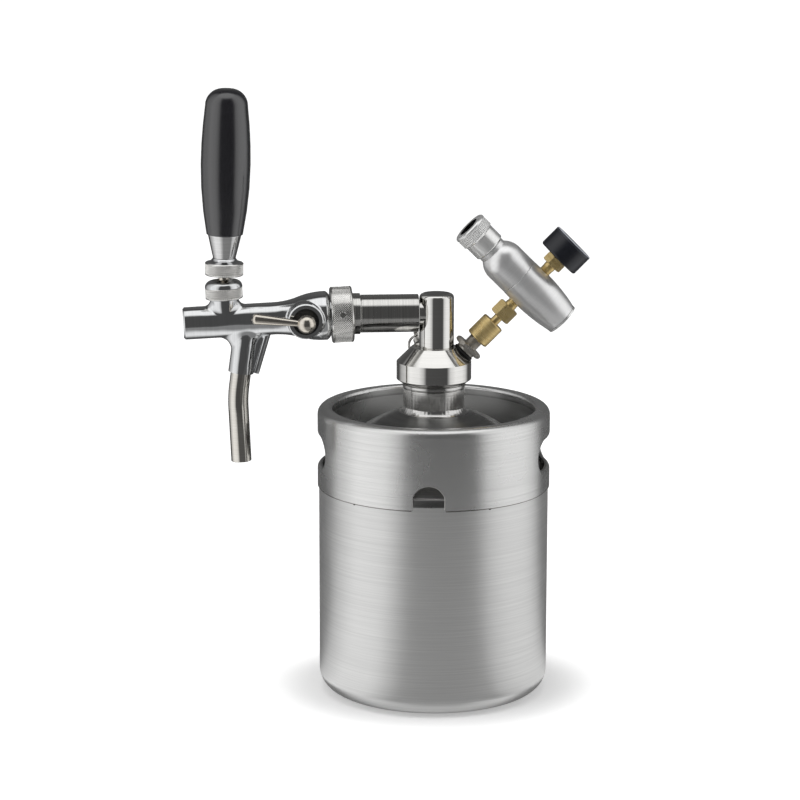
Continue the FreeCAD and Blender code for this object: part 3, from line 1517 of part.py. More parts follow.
def gauge_movement(d, at):
    """Plate on the stem, with the post that carries the pointer's shaft."""
    level = movement_level(d)
    top = d.gauge_start + d.dial_level - d.seal_gap
    bore = d.needle_shaft + d.running
    return turned("gauge_movement", at.gas(), [
        (0, level),
        (d.movement_radius, level),
        (d.movement_radius, level + d.movement_plate),
        (d.movement_post, level + d.movement_plate),
        (d.movement_post, top),
        (bore, top),
        (bore, level + d.movement_plate),
        (0, level + d.movement_plate),
    ])


def bourdon_tube(d, at):
    """The bent tube that straightens with pressure: three quarters of a ring on the plate."""
    body = new_body("bourdon_tube", at.gas())
    level = movement_level(d) + d.movement_plate + d.bourdon_tube
    ring = primitive(body, "AdditiveTorus", "bent_tube", (0, 0, level),
                     Radius1=d.bourdon_radius, Radius2=d.bourdon_tube)
    ring.Angle3 = 270
    return body


def gauge_dial(d, at):
    level = d.gauge_start + d.dial_level
    hole = d.needle_shaft + d.running
    rim = d.gauge_radius - d.gauge_wall - d.fixed_gap
    return turned("gauge_dial", at.gas(), [
        (hole, level),
        (rim, level),
        (rim, level + d.dial_thickness),
        (hole, level + d.dial_thickness),
    ])


def gauge_needle(d, at):
    """Pointer at zero, with its hub and shaft."""
    body = new_body("gauge_needle", at.gas().multiply(frame_at((0, 0, 0), (Z_AXIS, d.needle_zero.value))))
    dial = d.gauge_start + d.dial_level + d.dial_thickness
    foot = movement_level(d) + d.movement_plate + d.running
    hub = dial + d.running
    primitive(body, "AdditiveCylinder", "needle_shaft_body", (0, 0, foot),
              Radius=d.needle_shaft, Height=hub - foot + d.needle_thickness)
    primitive(body, "AdditiveCylinder", "needle_hub_body", (0, 0, hub),
              Radius=d.needle_hub, Height=2 * d.needle_thickness)
    primitive(body, "AdditiveBox", "pointer", (-d.needle_hub, -d.needle_width / 2, hub + d.needle_thickness),
              Length=d.needle_hub + d.needle_length, Width=d.needle_width, Height=d.needle_thickness)
    return body


def gauge_lens(d, at):
    front = d.gauge_start + d.gauge_depth
    rim = d.gauge_radius - d.gauge_wall - d.fixed_gap
    return turned("gauge_lens", at.gas(), [
        (0, front - d.lens_thickness),
        (rim, front - d.lens_thickness),
        (rim, front),
        (0, front),
    ])


def gauge_bezel(d, at):
    front = d.gauge_start + d.gauge_depth
    edge = d.bezel_depth / 3
    return turned("gauge_bezel", at.gas(), [
        (d.bezel_bore, front),
        (d.gauge_radius, front),
        (d.gauge_radius, front + d.bezel_depth - edge),
        (d.gauge_radius - edge, front + d.bezel_depth),
        (d.bezel_bore, front + d.bezel_depth),
    ])


# ---------------------------------------------------------------- tap body and coupling
def tap_body(d, at):
    """Barrel with flare, three bosses and a vent rib, blended and then bored."""
    body = new_body("tap_body", at.tap())
    barrel = revolve(body, "barrel", barrel_outline(d, at), axis="H_Axis")
    tip = add_spout_boss(body, d)
    tip = add_flow_boss(body, d, tip)
    tip = add_bonnet_boss(body, d, tip)
    add_vent(body, d, tip)
    bore_barrel(body, d, at)
    bore_spout(body, d)
    bore_bonnet(body, d)
    bore_flow(body, d)
    return body


def barrel_outline(d, at):
    """Tail disc, neck, flare with an S-shaped side of two equal tangent arcs, and barrel."""
    run = d.barrel_start - d.flare_top
    rise = d.flare_radius - d.barrel_radius
    side = (run * run + rise * rise) / (4 * rise)
    middle_x = (d.barrel_start + d.flare_top) / 2
    middle_r = (d.flare_radius + d.barrel_radius) / 2
    bevel = d.flare_radius - d.flare_foot
    return [
        (at.disc_start, 0),
        (at.disc_start, d.tail_disc_radius),
        (at.disc_end, d.tail_disc_radius),
        (at.disc_end, d.tail_radius),
        (d.flare_start, d.tail_radius),
        (d.flare_start, d.flare_foot),
        right(d.flare_start + d.flare_edge, d.flare_radius, d.flare_edge + bevel),
        (d.flare_top, d.flare_radius),
        right(middle_x, middle_r, side),
        left(d.barrel_start, d.barrel_radius, side),
        (d.barrel_end - d.barrel_edge, d.barrel_radius),
        (d.barrel_end, d.barrel_radius - d.barrel_edge),
        (d.barrel_end, 0),
    ]


def add_spout_boss(body, d):
    """Leaning cone under the barrel, blended along the whole crossing."""
    lean = turn_about(Y_AXIS, -d.spout_tilt.value)
    boss = primitive(body, "AdditiveCone", "spout_boss", (d.spout_foot_x, 0, -d.spout_foot_drop), lean,
                     Radius1=d.spout_boss_foot, Radius2=d.spout_boss_top, Height=d.spout_boss_length)
    radius = d.barrel_radius.value
    return dress(body, "Fillet", "spout_boss_blend", boss,
                 lambda p: near(math.hypot(p.y, p.z), radius) and p.z < 0 and p.x > d.barrel_start.value
                 and p.x < d.chamber_end.value, "Radius", d.spout_blend)


def add_flow_boss(body, d, base):
    """Short round boss for the flow lever, towards the user."""
    boss = primitive(body, "AdditiveCylinder", "flow_boss", (d.flow_x, 0, 0), turn_about(X_AXIS, -90),
                     Radius=d.flow_boss, Height=d.flow_boss_length)
    x, radius, face = d.flow_x.value, d.flow_boss.value, d.flow_boss_length.value
    room = (d.flow_boss_length - d.flow_edge - d.flare_radius) * 0.9
    blend = dress(body, "Fillet", "flow_boss_blend", boss,
                  lambda p: near(math.hypot(p.x - x, p.z), radius) and 0 < p.y < face - 1,
                  "Radius", smaller(d.flow_blend, room))
    return dress(body, "Chamfer", "flow_boss_edge", blend,
                 lambda p: near(p.y, face) and near(math.hypot(p.x - x, p.z), radius), "Size", d.flow_edge)


def add_bonnet_boss(body, d, base):
    """Round boss on top of the barrel, with the screwed spigot of the bonnet."""
    boss = primitive(body, "AdditiveCylinder", "bonnet_boss", (d.bonnet_x, 0, 0),
                     Radius=d.bonnet_boss, Height=d.bonnet_boss_top)
    x, radius, face = d.bonnet_x.value, d.bonnet_boss.value, d.bonnet_boss_top.value
    dress(body, "Fillet", "bonnet_boss_blend", boss,
          lambda p: near(math.hypot(p.x - x, p.y), radius) and 0 < p.z < face - 1, "Radius", d.bonnet_blend)
    return primitive(body, "AdditiveCylinder", "bonnet_spigot_body", (d.bonnet_x, 0, 0),
                     Radius=d.bonnet_spigot, Height=d.bonnet_boss_top + d.bonnet_spigot_length)


def vent_frame(d):
    """Turn and length of the leaning vent rib."""
    angle = math.degrees(math.atan2(d.vent_run.value, d.vent_drop.value))
    return turn_about(Y_AXIS, 180 - angle), (d.vent_run * d.vent_run + d.vent_drop * d.vent_drop).root()


def add_vent(body, d, base):
    turn, length = vent_frame(d)
    rib = primitive(body, "AdditiveCylinder", "vent_rib", (d.vent_top_x, 0, -d.vent_top_drop), turn,
                    Radius=d.vent_radius, Height=length)
    start = FreeCAD.Vector(d.vent_top_x.value, 0, -d.vent_top_drop.value)
    along = turn.multVec(Z_AXIS)
    foot = -d.vent_top_drop.value - d.vent_drop.value
    radius = d.vent_radius.value

    def beside_rib(point):
        return near(point.sub(start).cross(along).Length, radius) and point.z > foot + radius / 2

    return dress(body, "Fillet", "vent_rib_blend", rib, beside_rib, "Radius", d.vent_blend)


def bore_barrel(body, d, at):
    """Stepped bore from the coupling: flow cone, throttle, valve, seat, lever chamber."""
    throttle_end = d.throttle_start + d.throttle_length
    seat_end = d.seat_start + d.seat_length
    revolve(body, "barrel_bore", [
        (at.disc_start - d.sheet, 0),
        (at.disc_start - d.sheet, d.inlet_bore),
        (d.throttle_start, d.inlet_bore),
        (d.throttle_start, d.throttle_bore),
        (throttle_end, d.throttle_bore),
        (throttle_end, d.valve_bore_tap),
        (d.seat_start, d.valve_bore_tap),
        (d.seat_start, d.seat_bore),
        (seat_end, d.seat_bore),
        (seat_end, d.chamber_bore),
        (d.chamber_end, d.chamber_bore),
        (d.chamber_end, 0),
    ], kind="Groove", axis="H_Axis")


def bore_spout(body, d):
    lean = turn_about(Y_AXIS, -d.spout_tilt.value)
    foot = (d.spout_foot_x, 0, -d.spout_foot_drop)
    below = lean.multVec(FreeCAD.Vector(0, 0, -d.sheet.value))
    start = (d.spout_foot_x + below.x, 0, below.z - d.spout_foot_drop)
    primitive(body, "SubtractiveCylinder", "spout_socket_bore", start, lean,
              Radius=d.spout_radius + d.fixed_gap, Height=d.spout_socket + d.sheet)
    primitive(body, "SubtractiveCylinder", "spout_way_bore", foot, lean,
              Radius=d.spout_way, Height=d.spout_foot_drop - d.chamber_bore / 2)
    turn, length = vent_frame(d)
    primitive(body, "SubtractiveCylinder", "vent_hole", (d.vent_top_x, 0, -d.vent_top_drop), turn,
              Radius=d.vent_bore, Height=length + d.sheet)


def bore_bonnet(body, d):
    """Cone-shaped opening that gives the lever its swing, with a step for the ball's seat."""
    primitive(body, "SubtractiveCone", "lever_way", (d.bonnet_x, 0, 0),
              Radius1=d.lever_way_foot, Radius2=d.lever_way_top, Height=d.seat_ring_level)
    primitive(body, "SubtractiveCylinder", "seat_ring_step", (d.bonnet_x, 0, d.seat_ring_level),
              Radius=d.seat_ring_radius + d.fixed_gap, Height=d.bonnet_boss_top)


def gland_level(d):
    return d.flow_boss_length - d.flow_recess_depth


def bore_flow(body, d):
    """Recess of the flow lever, O-ring step and shaft hole, bored towards the barrel axis."""
    floor = gland_level(d)
    ring_step = floor - 2 * d.flow_o_ring - d.seal_gap
    spin = turn_about(X_AXIS, -90)
    cuts = [
        ("flow_recess_bore", floor, d.flow_recess),
        ("flow_ring_step", ring_step, d.flow_shaft + 2 * d.flow_o_ring + d.running),
        ("flow_shaft_hole", Size.of(0), d.flow_shaft + d.running),
    ]
    for name, start, radius in cuts:
        primitive(body, "SubtractiveCylinder", name, (d.flow_x, start, 0), spin,
                  Radius=radius, Height=d.flow_boss_length - start + d.sheet)


def coupling_washer(d, at):
    end = at.washer_start + d.washer_thickness
    outer = d.tail_disc_radius
    return turned("coupling_washer", at.barrel(), [
        (d.washer_bore, at.washer_start),
        (outer, at.washer_start),
        (outer, end),
        (d.washer_bore, end),
    ])


def coupling_nut(d, at):
    """Knurled nut: a thread over the arm's end and a lip behind the tap's tail disc."""
    start, end, edge = d.nut_start, at.nut_end, d.nut_edge
    shoulder = at.disc_end + d.running
    bore = d.shank_radius + d.nut_clearance
    throat = d.tail_radius + d.running
    body = turned("coupling_nut", at.barrel(), [
        (bore, start),
        (d.nut_radius - edge, start),
        (d.nut_radius, start + edge),
        (d.nut_radius, end - edge),
        (d.nut_radius - edge, end),
        (throat, end),
        (throat, shoulder),
        (bore, shoulder),
    ])
    middle = (start + end) / 2
    reach = d.nut_radius - d.spanner_depth
    count = int(d.spanner_count.value)
    for index in range(count):
        spin = turn_about(Z_AXIS, 90 + d.spanner_angle.value + index * 360.0 / count)
        outward = spin.multiply(turn_about(Y_AXIS, 90))
        offset = outward.multVec(FreeCAD.Vector(0, 0, reach.value))
        hole = primitive(body, "SubtractiveCylinder", f"spanner_hole_{index + 1}",
                         Radius=d.spanner_hole, Height=2 * d.spanner_depth)
        hole.Placement = FreeCAD.Placement(FreeCAD.Vector(0, 0, middle.value).add(offset), outward)
    return body


# ---------------------------------------------------------------- spout
def spout_tube(d, at):
    """Thin tube swept down the boss's line, through one gentle bend, to the vertical."""
    body = new_body("spout_tube", at.spout())
    path = new_sketch(body, "spout_path", "XZ_Plane")
    tilt = math.radians(d.spout_tilt.value)
    across, down = math.sin(tilt), math.cos(tilt)
    top = d.spout_socket - d.seal_gap
    bend_x = -(d.spout_bend * (1 - down))
    bend_z = -d.spout_straight - d.spout_bend * across
    chain(path, [
        (0, top),
        (0, -d.spout_straight),
        right(bend_x, bend_z, d.spout_bend),
        (bend_x - d.spout_tail * across, bend_z - d.spout_tail * down),
    ], False)
    section = new_sketch(body, "spout_section", "XY_Plane")
    section.AttachmentOffset = FreeCAD.Placement(FreeCAD.Vector(0, 0, top.value), NO_TURN)
    section.setExpression("AttachmentOffset.Base.z", top.formula)
    for name, radius in (("outer", d.spout_radius), ("inner", d.spout_radius - d.spout_wall)):
        edge = section.addGeometry(Part.Circle(ORIGIN, Z_AXIS, radius.value), False)
        section.addConstraint(Sketcher.Constraint("Coincident", edge, 3, -1, 1))
        index = section.addConstraint(Sketcher.Constraint("Radius", edge, radius.value))
        section.renameConstraint(index, name)
        section.setExpression(f"Constraints.{name}", radius.formula)
    pipe = body.newObject("PartDesign::AdditivePipe", "spout_sweep")
    pipe.Profile = section
    pipe.Spine = (path, ["Edge1", "Edge2", "Edge3"])
    return body


# ---------------------------------------------------------------- flow control
def flow_gland(d, at):
    level = gland_level(d)
    outer = d.flow_recess - d.fixed_gap
    bore = d.flow_shaft + d.running
    return turned("flow_gland", at.flow(), [
        (bore, level),
        (outer, level),
        (outer, level + d.gland_thickness),
        (bore, level + d.gland_thickness),
    ])


def flow_o_ring(d, at):
    level = gland_level(d) - d.flow_o_ring - d.fixed_gap
    ring = d.flow_shaft + d.running / 2 + d.flow_o_ring
    return torus("flow_o_ring", at.flow(), level, ring, d.flow_o_ring)


def flow_lever(d, at):
    """Ball, shaft with crank pin, and the tapered finger lever."""
    body = new_body("flow_lever", at.flow())
    crank_start = d.cone_guide + d.running
    primitive(body, "AdditiveSphere", "ball", (0, 0, d.flow_ball_reach), Radius=d.flow_ball)
    primitive(body, "AdditiveCylinder", "shaft", (0, 0, crank_start),
              Radius=d.flow_shaft, Height=d.flow_ball_reach - crank_start)
    primitive(body, "AdditiveCylinder", "crank_pin", (0, -d.crank_offset, crank_start - d.crank_reach),
              Radius=d.crank_radius, Height=d.crank_reach + d.sheet)
    turn = turn_about(Z_AXIS, -d.flow_lever_rise.value).multiply(turn_about(Y_AXIS, 90))
    lever = primitive(body, "AdditiveCone", "lever", (0, 0, d.flow_ball_reach), turn,
                      Radius1=d.flow_lever_root, Radius2=d.flow_lever_tip, Height=d.flow_lever_length)
    length = d.flow_lever_length.value
    along = turn.multVec(Z_AXIS)
    centre = FreeCAD.Vector(0, 0, d.flow_ball_reach.value)
    dress(body, "Fillet", "lever_end", lever,
          lambda p: near(p.sub(centre).dot(along), length), "Radius", d.flow_lever_edge)
    return body


def flow_cone(d, at):
    """Sliding guide with a tapered nose; the crank pin works in a slot across the guide."""
    guide_end = d.cone_start + d.cone_guide_length
    body = turned("flow_cone", at.barrel(), [
        (0, d.cone_start),
        (d.cone_guide, d.cone_start),
        (d.cone_guide, guide_end),
        (d.cone_root, guide_end),
        (d.cone_tip, guide_end + d.cone_nose),
        (0, guide_end + d.cone_nose),
    ])
    half_slot = d.crank_radius + d.slot_clearance
    slot_height = 2 * (d.crank_offset + half_slot)
    depth = d.crank_reach + d.running
    primitive(body, "SubtractiveBox", "crank_slot",
              (-slot_height / 2, d.cone_guide - depth, d.flow_x - half_slot),
              Length=slot_height, Width=depth + d.sheet, Height=2 * half_slot)
    for name, side in (("upper", -1), ("lower", 1)):
        primitive(body, "SubtractiveCylinder", f"{name}_beer_hole",
                  (side * d.cone_hole_height, -d.cone_hole_depth, d.cone_start - d.sheet),
                  Radius=d.cone_hole, Height=d.cone_guide_length + 2 * d.sheet)
    return body


# ---------------------------------------------------------------- beer valve, bonnet and lever
def shuttle(d, at):
    """Valve disc, rod and slotted yoke with its guide disc."""
    disc_end = d.seat_start - d.seal_gap - d.valve_washer - d.fixed_gap
    guide = d.chamber_bore - d.running
    body = turned("valve_shuttle", at.barrel(), [
        (0, disc_end - d.shuttle_disc_length),
        (d.shuttle_disc, disc_end - d.shuttle_disc_length),
        (d.shuttle_disc, disc_end),
        (d.shuttle_rod, disc_end),
        (d.shuttle_rod, d.yoke_start),
        (d.yoke_radius, d.yoke_start),
        (d.yoke_radius, d.yoke_end),
        (guide, d.yoke_end),
        (guide, d.yoke_end + d.guide_length),
        (0, d.yoke_end + d.guide_length),
    ])
    half_slot = d.finger_ball + d.slot_clearance
    centre = d.bonnet_x + d.pivot_height * math.sin(math.radians(d.lever_lean.value))
    primitive(body, "SubtractiveBox", "finger_slot", (-2 * d.yoke_radius, -half_slot, centre - half_slot),
              Length=4 * d.yoke_radius, Width=2 * half_slot, Height=2 * half_slot)
    return body


def valve_washer(d, at):
    end = d.seat_start - d.seal_gap
    bore = d.shuttle_rod + d.fixed_gap
    return turned("valve_washer", at.barrel(), [
        (bore, end - d.valve_washer),
        (d.shuttle_disc, end - d.valve_washer),
        (d.shuttle_disc, end),
        (bore, end),
    ])


def lever_seat(d, at):
    """Plastic ring under the lever's ball, hollowed to the ball plus its clearance."""
    socket = d.lever_ball + d.running
    foot = d.seat_ring_level
    top = foot + d.seat_ring_height
    upper_bore = leg(socket, d.pivot_height - top)
    lower = leg(socket, d.seat_ring_bore)
    return turned("lever_seat", at.bonnet(), [
        (d.seat_ring_bore, foot),
        (d.seat_ring_radius, foot),
        (d.seat_ring_radius, top),
        (upper_bore, top),
        right(d.seat_ring_bore, d.pivot_height - lower, socket),
    ])


def bonnet_collar(d, at):
    """Knurled collar screwed over the boss; its socket keeps the ball down."""
    foot = d.bonnet_boss_top + d.fixed_gap
    knurl_end = foot + d.bonnet_knurl
    top = knurl_end + d.bonnet_dome
    thread = d.bonnet_spigot + d.fixed_gap
    thread_end = d.bonnet_boss_top + d.bonnet_spigot_length + d.seal_gap
    socket = d.lever_ball + d.running
    socket_foot = d.pivot_height + leg(socket, socket - d.seal_gap)
    throat_level = d.pivot_height + leg(socket, d.bonnet_throat)
    return turned("bonnet_collar", at.bonnet(), [
        (thread, foot),
        (d.bonnet_radius - d.lock_nut_edge, foot),
        (d.bonnet_radius, foot + d.lock_nut_edge),
        (d.bonnet_radius, knurl_end),
        left(d.bonnet_top, top, d.bonnet_dome),
        (d.bonnet_mouth, top),
        (d.bonnet_throat, throat_level + d.seal_gap),
        (d.bonnet_throat, throat_level),
        right(socket - d.seal_gap, socket_foot, socket),
        (socket - d.seal_gap, thread_end),
        (thread, thread_end),
    ])


def lever_stem(d, at):
    """Ball, rod up to the handle and finger down to the shuttle."""
    body = turned("lever_stem", at.lever(), [
        (0, 0),
        (d.lever_neck, 0),
        (d.lever_neck, d.lever_neck_end - d.sheet),
        (d.lever_rod, d.lever_neck_end),
        (d.lever_rod, d.lever_rod_end),
        (0, d.lever_rod_end),
    ])
    primitive(body, "AdditiveSphere", "lever_ball_body", (0, 0, 0), Radius=d.lever_ball)
    primitive(body, "AdditiveCylinder", "finger", (0, 0, -d.pivot_height),
              Radius=d.finger_radius, Height=d.pivot_height)
    primitive(body, "AdditiveSphere", "finger_ball_body", (0, 0, -d.pivot_height), Radius=d.finger_ball)
    return body


def lever_lock_nut(d, at):
    start, edge = d.lock_nut_start, d.lock_nut_edge
    knurl_end = start + d.lock_nut_knurl
    top = knurl_end + d.lock_nut_flange
    bore = d.lever_rod + d.fixed_gap
    return turned("handle_lock_nut", at.lever(), [
        (bore, start),
        (d.lock_nut_radius - edge, start),
        (d.lock_nut_radius, start + edge),
        (d.lock_nut_radius, knurl_end - edge),
        (d.lock_nut_radius - edge, knurl_end),
        right(d.lock_nut_top, top, d.flange_hollow),
        (bore, top),
    ])


def ferrule_level(d):
    return d.lock_nut_start + d.lock_nut_knurl + d.lock_nut_flange + d.fixed_gap


def handle_ferrule(d, at):
    """Cone between thumb nut and handle, with the stud that the handle screws on to."""
    foot = ferrule_level(d)
    top = foot + d.ferrule_length
    bore = d.lever_rod + d.fixed_gap
    bore_end = d.lever_rod_end + d.seal_gap
    return turned("handle_ferrule", at.lever(), [
        (bore, foot),
        (d.ferrule_foot, foot),
        (d.ferrule_top, top),
        (d.stud_radius, top),
        (d.stud_radius, top + d.stud_length),
        (0, top + d.stud_length),
        (0, bore_end),
        (bore, bore_end),
    ])


def handle_grip(d, at):
    """Two tangent arcs that meet at the belly, and a rounded end."""
    foot = ferrule_level(d) + d.ferrule_length
    belly = foot + d.grip_belly_height
    shoulder = foot + d.grip_shoulder_height
    lower = tangent_arc(d.grip_belly_height, d.grip_belly - d.grip_foot)
    upper = tangent_arc(d.grip_shoulder_height - d.grip_belly_height, d.grip_belly - d.grip_shoulder)
    bore = d.stud_radius + d.fixed_gap
    return turned("handle_grip", at.lever(), [
        (bore, foot),
        (d.grip_foot, foot),
        left(d.grip_belly, belly, lower),
        left(d.grip_shoulder, shoulder, upper),
        left(d.grip_shoulder - d.grip_nose, shoulder + d.grip_nose, d.grip_nose),
        (0, shoulder + d.grip_nose),
        (0, foot + d.stud_length + d.seal_gap),
        (bore, foot + d.stud_length + d.seal_gap),
    ])


SUBPARTS = [
    keg_body, keg_dome, keg_neck, handle_collar,
    head_body, neck_seal, dip_tube, dip_tube_ring, outlet_post, outlet_arm,
    gas_nipple, gas_o_ring, gas_washer, gas_lock_nut, check_poppet, check_spring,
    tail_washer, swivel_nut, gas_tail,
    relief_body, relief_seal, relief_stem, relief_spring, pull_ring,
    cartridge_collar, cartridge_seal, piercing_pin, regulator_dome, regulator_body,
    inlet_valve, inlet_spring, pressure_piston, piston_o_ring, main_spring, pressure_screw,
    gauge_stem, gauge_case, gauge_movement, bourdon_tube, gauge_dial, gauge_needle, gauge_lens, gauge_bezel,
    tap_body, coupling_washer, coupling_nut, spout_tube,
    flow_gland, flow_o_ring, flow_lever, flow_cone,
    shuttle, valve_washer, lever_seat, bonnet_collar, lever_stem,
    lever_lock_nut, handle_ferrule, handle_grip,
]


def check(document, bodies):
    """Raises if any feature failed or any sub-part is missing or invalid."""
    for item in document.Objects:
        if "Invalid" in item.State or "Error" in item.State:
            raise RuntimeError(f"{item.Label} failed: {item.State}")
    for body in bodies:
        if body.Shape.isNull() or not body.Shape.isValid() or not body.Shape.Solids:
            raise RuntimeError(f"{body.Label} has no valid solid")


def build():
    """Makes the document and returns it with its layout and sub-parts."""
    document = FreeCAD.newDocument("MiniKegDispenser")
    sheet = Sheet(document)
    layout = Layout(sheet)
    bodies = [make(sheet, layout) for make in SUBPARTS]
    document.recompute()
    check(document, bodies)
    return document, layout, bodies


def export(bodies):
    """Writes each sub-part to its own STEP file, named after its Label."""
    os.makedirs(PARTS_FOLDER, exist_ok=True)
    for body in bodies:
        body.Shape.exportStep(os.path.join(PARTS_FOLDER, f"{body.Label}.step"))


if __name__ == "__main__":
    _, _, made = build()
    export(made)
    print(f"{len(made)} sub-parts")
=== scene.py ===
"""Looks of a mini keg beer dispenser: a steel keg with a carrying collar, a head with a tap, a gas regulator and a
pressure gauge.

Sizes are in millimetres, turned to metres when a mesh is made.  Round pieces are outlines carried round an axis,
with knurls, threads, flutes and hexagons as functions of height and angle.
"""
import logging
import math
from dataclasses import dataclass
from enum import Enum
from typing import Callable, Optional, Sequence

import bmesh
import bpy
import numpy as np
from mathutils import Matrix


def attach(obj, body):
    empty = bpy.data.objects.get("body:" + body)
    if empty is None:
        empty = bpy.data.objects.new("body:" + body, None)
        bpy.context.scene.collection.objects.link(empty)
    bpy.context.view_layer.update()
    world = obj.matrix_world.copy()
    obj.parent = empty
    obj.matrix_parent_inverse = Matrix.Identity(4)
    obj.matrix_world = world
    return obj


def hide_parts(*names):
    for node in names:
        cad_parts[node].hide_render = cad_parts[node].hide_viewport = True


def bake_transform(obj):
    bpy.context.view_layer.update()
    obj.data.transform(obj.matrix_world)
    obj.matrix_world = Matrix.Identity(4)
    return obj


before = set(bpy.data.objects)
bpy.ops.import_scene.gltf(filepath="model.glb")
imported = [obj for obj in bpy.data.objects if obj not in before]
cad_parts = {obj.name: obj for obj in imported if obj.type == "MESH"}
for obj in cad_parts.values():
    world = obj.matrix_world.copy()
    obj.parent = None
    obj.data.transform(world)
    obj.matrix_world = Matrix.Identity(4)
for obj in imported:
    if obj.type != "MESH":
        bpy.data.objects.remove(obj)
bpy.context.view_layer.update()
MM = 0.001
LOG = logging.getLogger("mini_keg")

FIXED_GAP = 0.05  # millimetres between pieces that stay together, like fixed_gap in the CAD
NOISE_RANGE = (0.3, 0.7)  # the values of a noise texture that spread stretches
ORIGIN = np.eye(4)

Relief = Callable[[np.ndarray, np.ndarray, np.ndarray], np.ndarray]
Tree = bpy.types.NodeTree
Socket = bpy.types.NodeSocket
Levels = tuple[tuple[float, float], ...]  # pairs of degrees and level


# ---------------------------------------------------------------- places
def place(origin: Sequence[float], along: Sequence[float], across: Sequence[float]) -> np.ndarray:
    """Frame of a round piece.

    Args:
        origin: its zero point in millimetres.
        along: direction of its axis (local Z).
        across: direction of its local X, square to the axis.

    Returns:
        A 4x4 matrix in millimetres whose columns are X, Y = Z x X, Z and the origin.
    """
    z = np.array(along, float) / np.linalg.norm(along)
    x = np.array(across, float) / np.linalg.norm(across)
    made = np.eye(4)
    made[:3, 0], made[:3, 1], made[:3, 2], made[:3, 3] = x, np.cross(z, x), z, origin
    return made


def turned(degrees: float) -> tuple[float, float]:
    """Cosine and sine of an angle in degrees."""
    return math.cos(math.radians(degrees)), math.sin(math.radians(degrees))


def spun(base: np.ndarray, degrees: float, lift: float = 0.0) -> np.ndarray:
    """A frame turned about its own axis and moved along it by lift millimetres."""
    c, s = turned(degrees)
    spin = np.eye(4)
    spin[:2, :2] = (c, -s), (s, c)
    spin[2, 3] = lift
    return base @ spin


@dataclass(frozen=True)
class Layout:
    """Places that several sub-assemblies share, from the same sizes as the solids."""

    droop: float = 2.6
    tap_start: tuple[float, float, float] = (-57.2, 0.0, 275.518)
    post_offset: float = 1.8
    port_radius: float = 20.85
    port_height: float = 246.368
    regulator_reach: float = 66.5
    mouth_reach: float = 61.7
    bonnet_x: float = 91.1
    pivot_height: float = 22.0
    lever_lean: float = 4.0
    flow_x: float = 35.1
    spout_x: float = 82.3
    spout_drop: float = 37.4
    spout_tilt: float = 10.0
    keg_turn: float = -7.4

    @property
    def keg(self) -> np.ndarray:
        """The keg's own frame, turned a little under the head."""
        return spun(np.eye(4), self.keg_turn)

    @property
    def post(self) -> np.ndarray:
        """The outlet post, beside the keg's axis."""
        return place((self.post_offset, 0, 0), (0, 0, 1), (1, 0, 0))

    @property
    def arm(self) -> np.ndarray:
        """The arm's axis, away from the keg."""
        return place((0, 0, self.tap_start[2]), (-1, 0, 0), (0, 0, 1))

    def port(self, azimuth: float) -> np.ndarray:
        """A port of the cone at an azimuth in degrees, its axis at 45 degrees."""
        c, s = turned(azimuth)
        half = math.sqrt(0.5)
        origin = (self.port_radius * c, self.port_radius * s, self.port_height)
        return place(origin, (half * c, half * s, half), (half * c, half * s, -half))

    @property
    def gas(self) -> np.ndarray:
        """The gas port, towards +X."""
        return self.port(0)

    @property
    def regulator(self) -> np.ndarray:
        """The regulator from the cartridge mouth down, square to the gas port."""
        mouth = self.gas @ np.array([-self.mouth_reach, 0, self.regulator_reach, 1])
        half = math.sqrt(0.5)
        return place(mouth[:3], (half, 0, -half), (-half, 0, -half))

    @property
    def tap(self) -> np.ndarray:
        """The tap: X outward along the barrel, Z up."""
        c, s = turned(self.droop)
        return place(self.tap_start, (-s, 0, c), (-c, 0, -s))

    @property
    def barrel(self) -> np.ndarray:
        """The barrel's axis, outward from the arm."""
        c, s = turned(self.droop)
        return place(self.tap_start, (-c, 0, -s), (s, 0, -c))

    def on_tap(self, x: float, z: float, lean: float = 0.0) -> np.ndarray:
        """An upright frame on the tap at x outward and z up, leaning outward by lean degrees."""
        base = self.tap
        c, s = turned(lean)
        along = c * base[:3, 2] + s * base[:3, 0]
        across = c * base[:3, 0] - s * base[:3, 2]
        return place((base @ np.array([x, 0, z, 1]))[:3], along, across)

    @property
    def bonnet(self) -> np.ndarray:
        """The bonnet's axis on top of the barrel."""
        return self.on_tap(self.bonnet_x, 0)

    @property
    def lever(self) -> np.ndarray:
        """The lever's axis from its ball, leaning towards the keg."""
        return self.on_tap(self.bonnet_x, self.pivot_height, -self.lever_lean)

    @property
    def spout(self) -> np.ndarray:
        """The spout's axis upward from the foot of its boss."""
        return self.on_tap(self.spout_x, -self.spout_drop, -self.spout_tilt)

    @property
    def flow(self) -> np.ndarray:
        """The flow lever's axis, towards -Y."""
        base = self.tap
        return place((base @ np.array([self.flow_x, 0, 0, 1]))[:3], (0, -1, 0), base[:3, 0])


AT = Layout()


# ---------------------------------------------------------------- outlines
@dataclass(frozen=True)
class Corner:
    """A corner of an outline, in millimetres.

    radius and height are its place from and along the axis.  soft rounds it.  arc is the radius of the arc that
    arrives here: positive turns left, negative right, 0 is a straight run.  step divides the run that arrives here,
    for a relief.  second puts that run in the piece's second finish.
    """

    radius: float
    height: float
    soft: float = 0.0
    arc: float = 0.0
    step: float = 0.0
    second: bool = False


@dataclass
class Outline:
    """Points of a traced outline: places, which finish each run has, and how far along it they lie."""

    points: np.ndarray
    second: np.ndarray

    @property
    def lengths(self) -> np.ndarray:
        """Distance along the outline to each point."""
        steps = np.linalg.norm(np.diff(self.points, axis=0), axis=1)
        return np.concatenate([[0.0], np.cumsum(steps)])


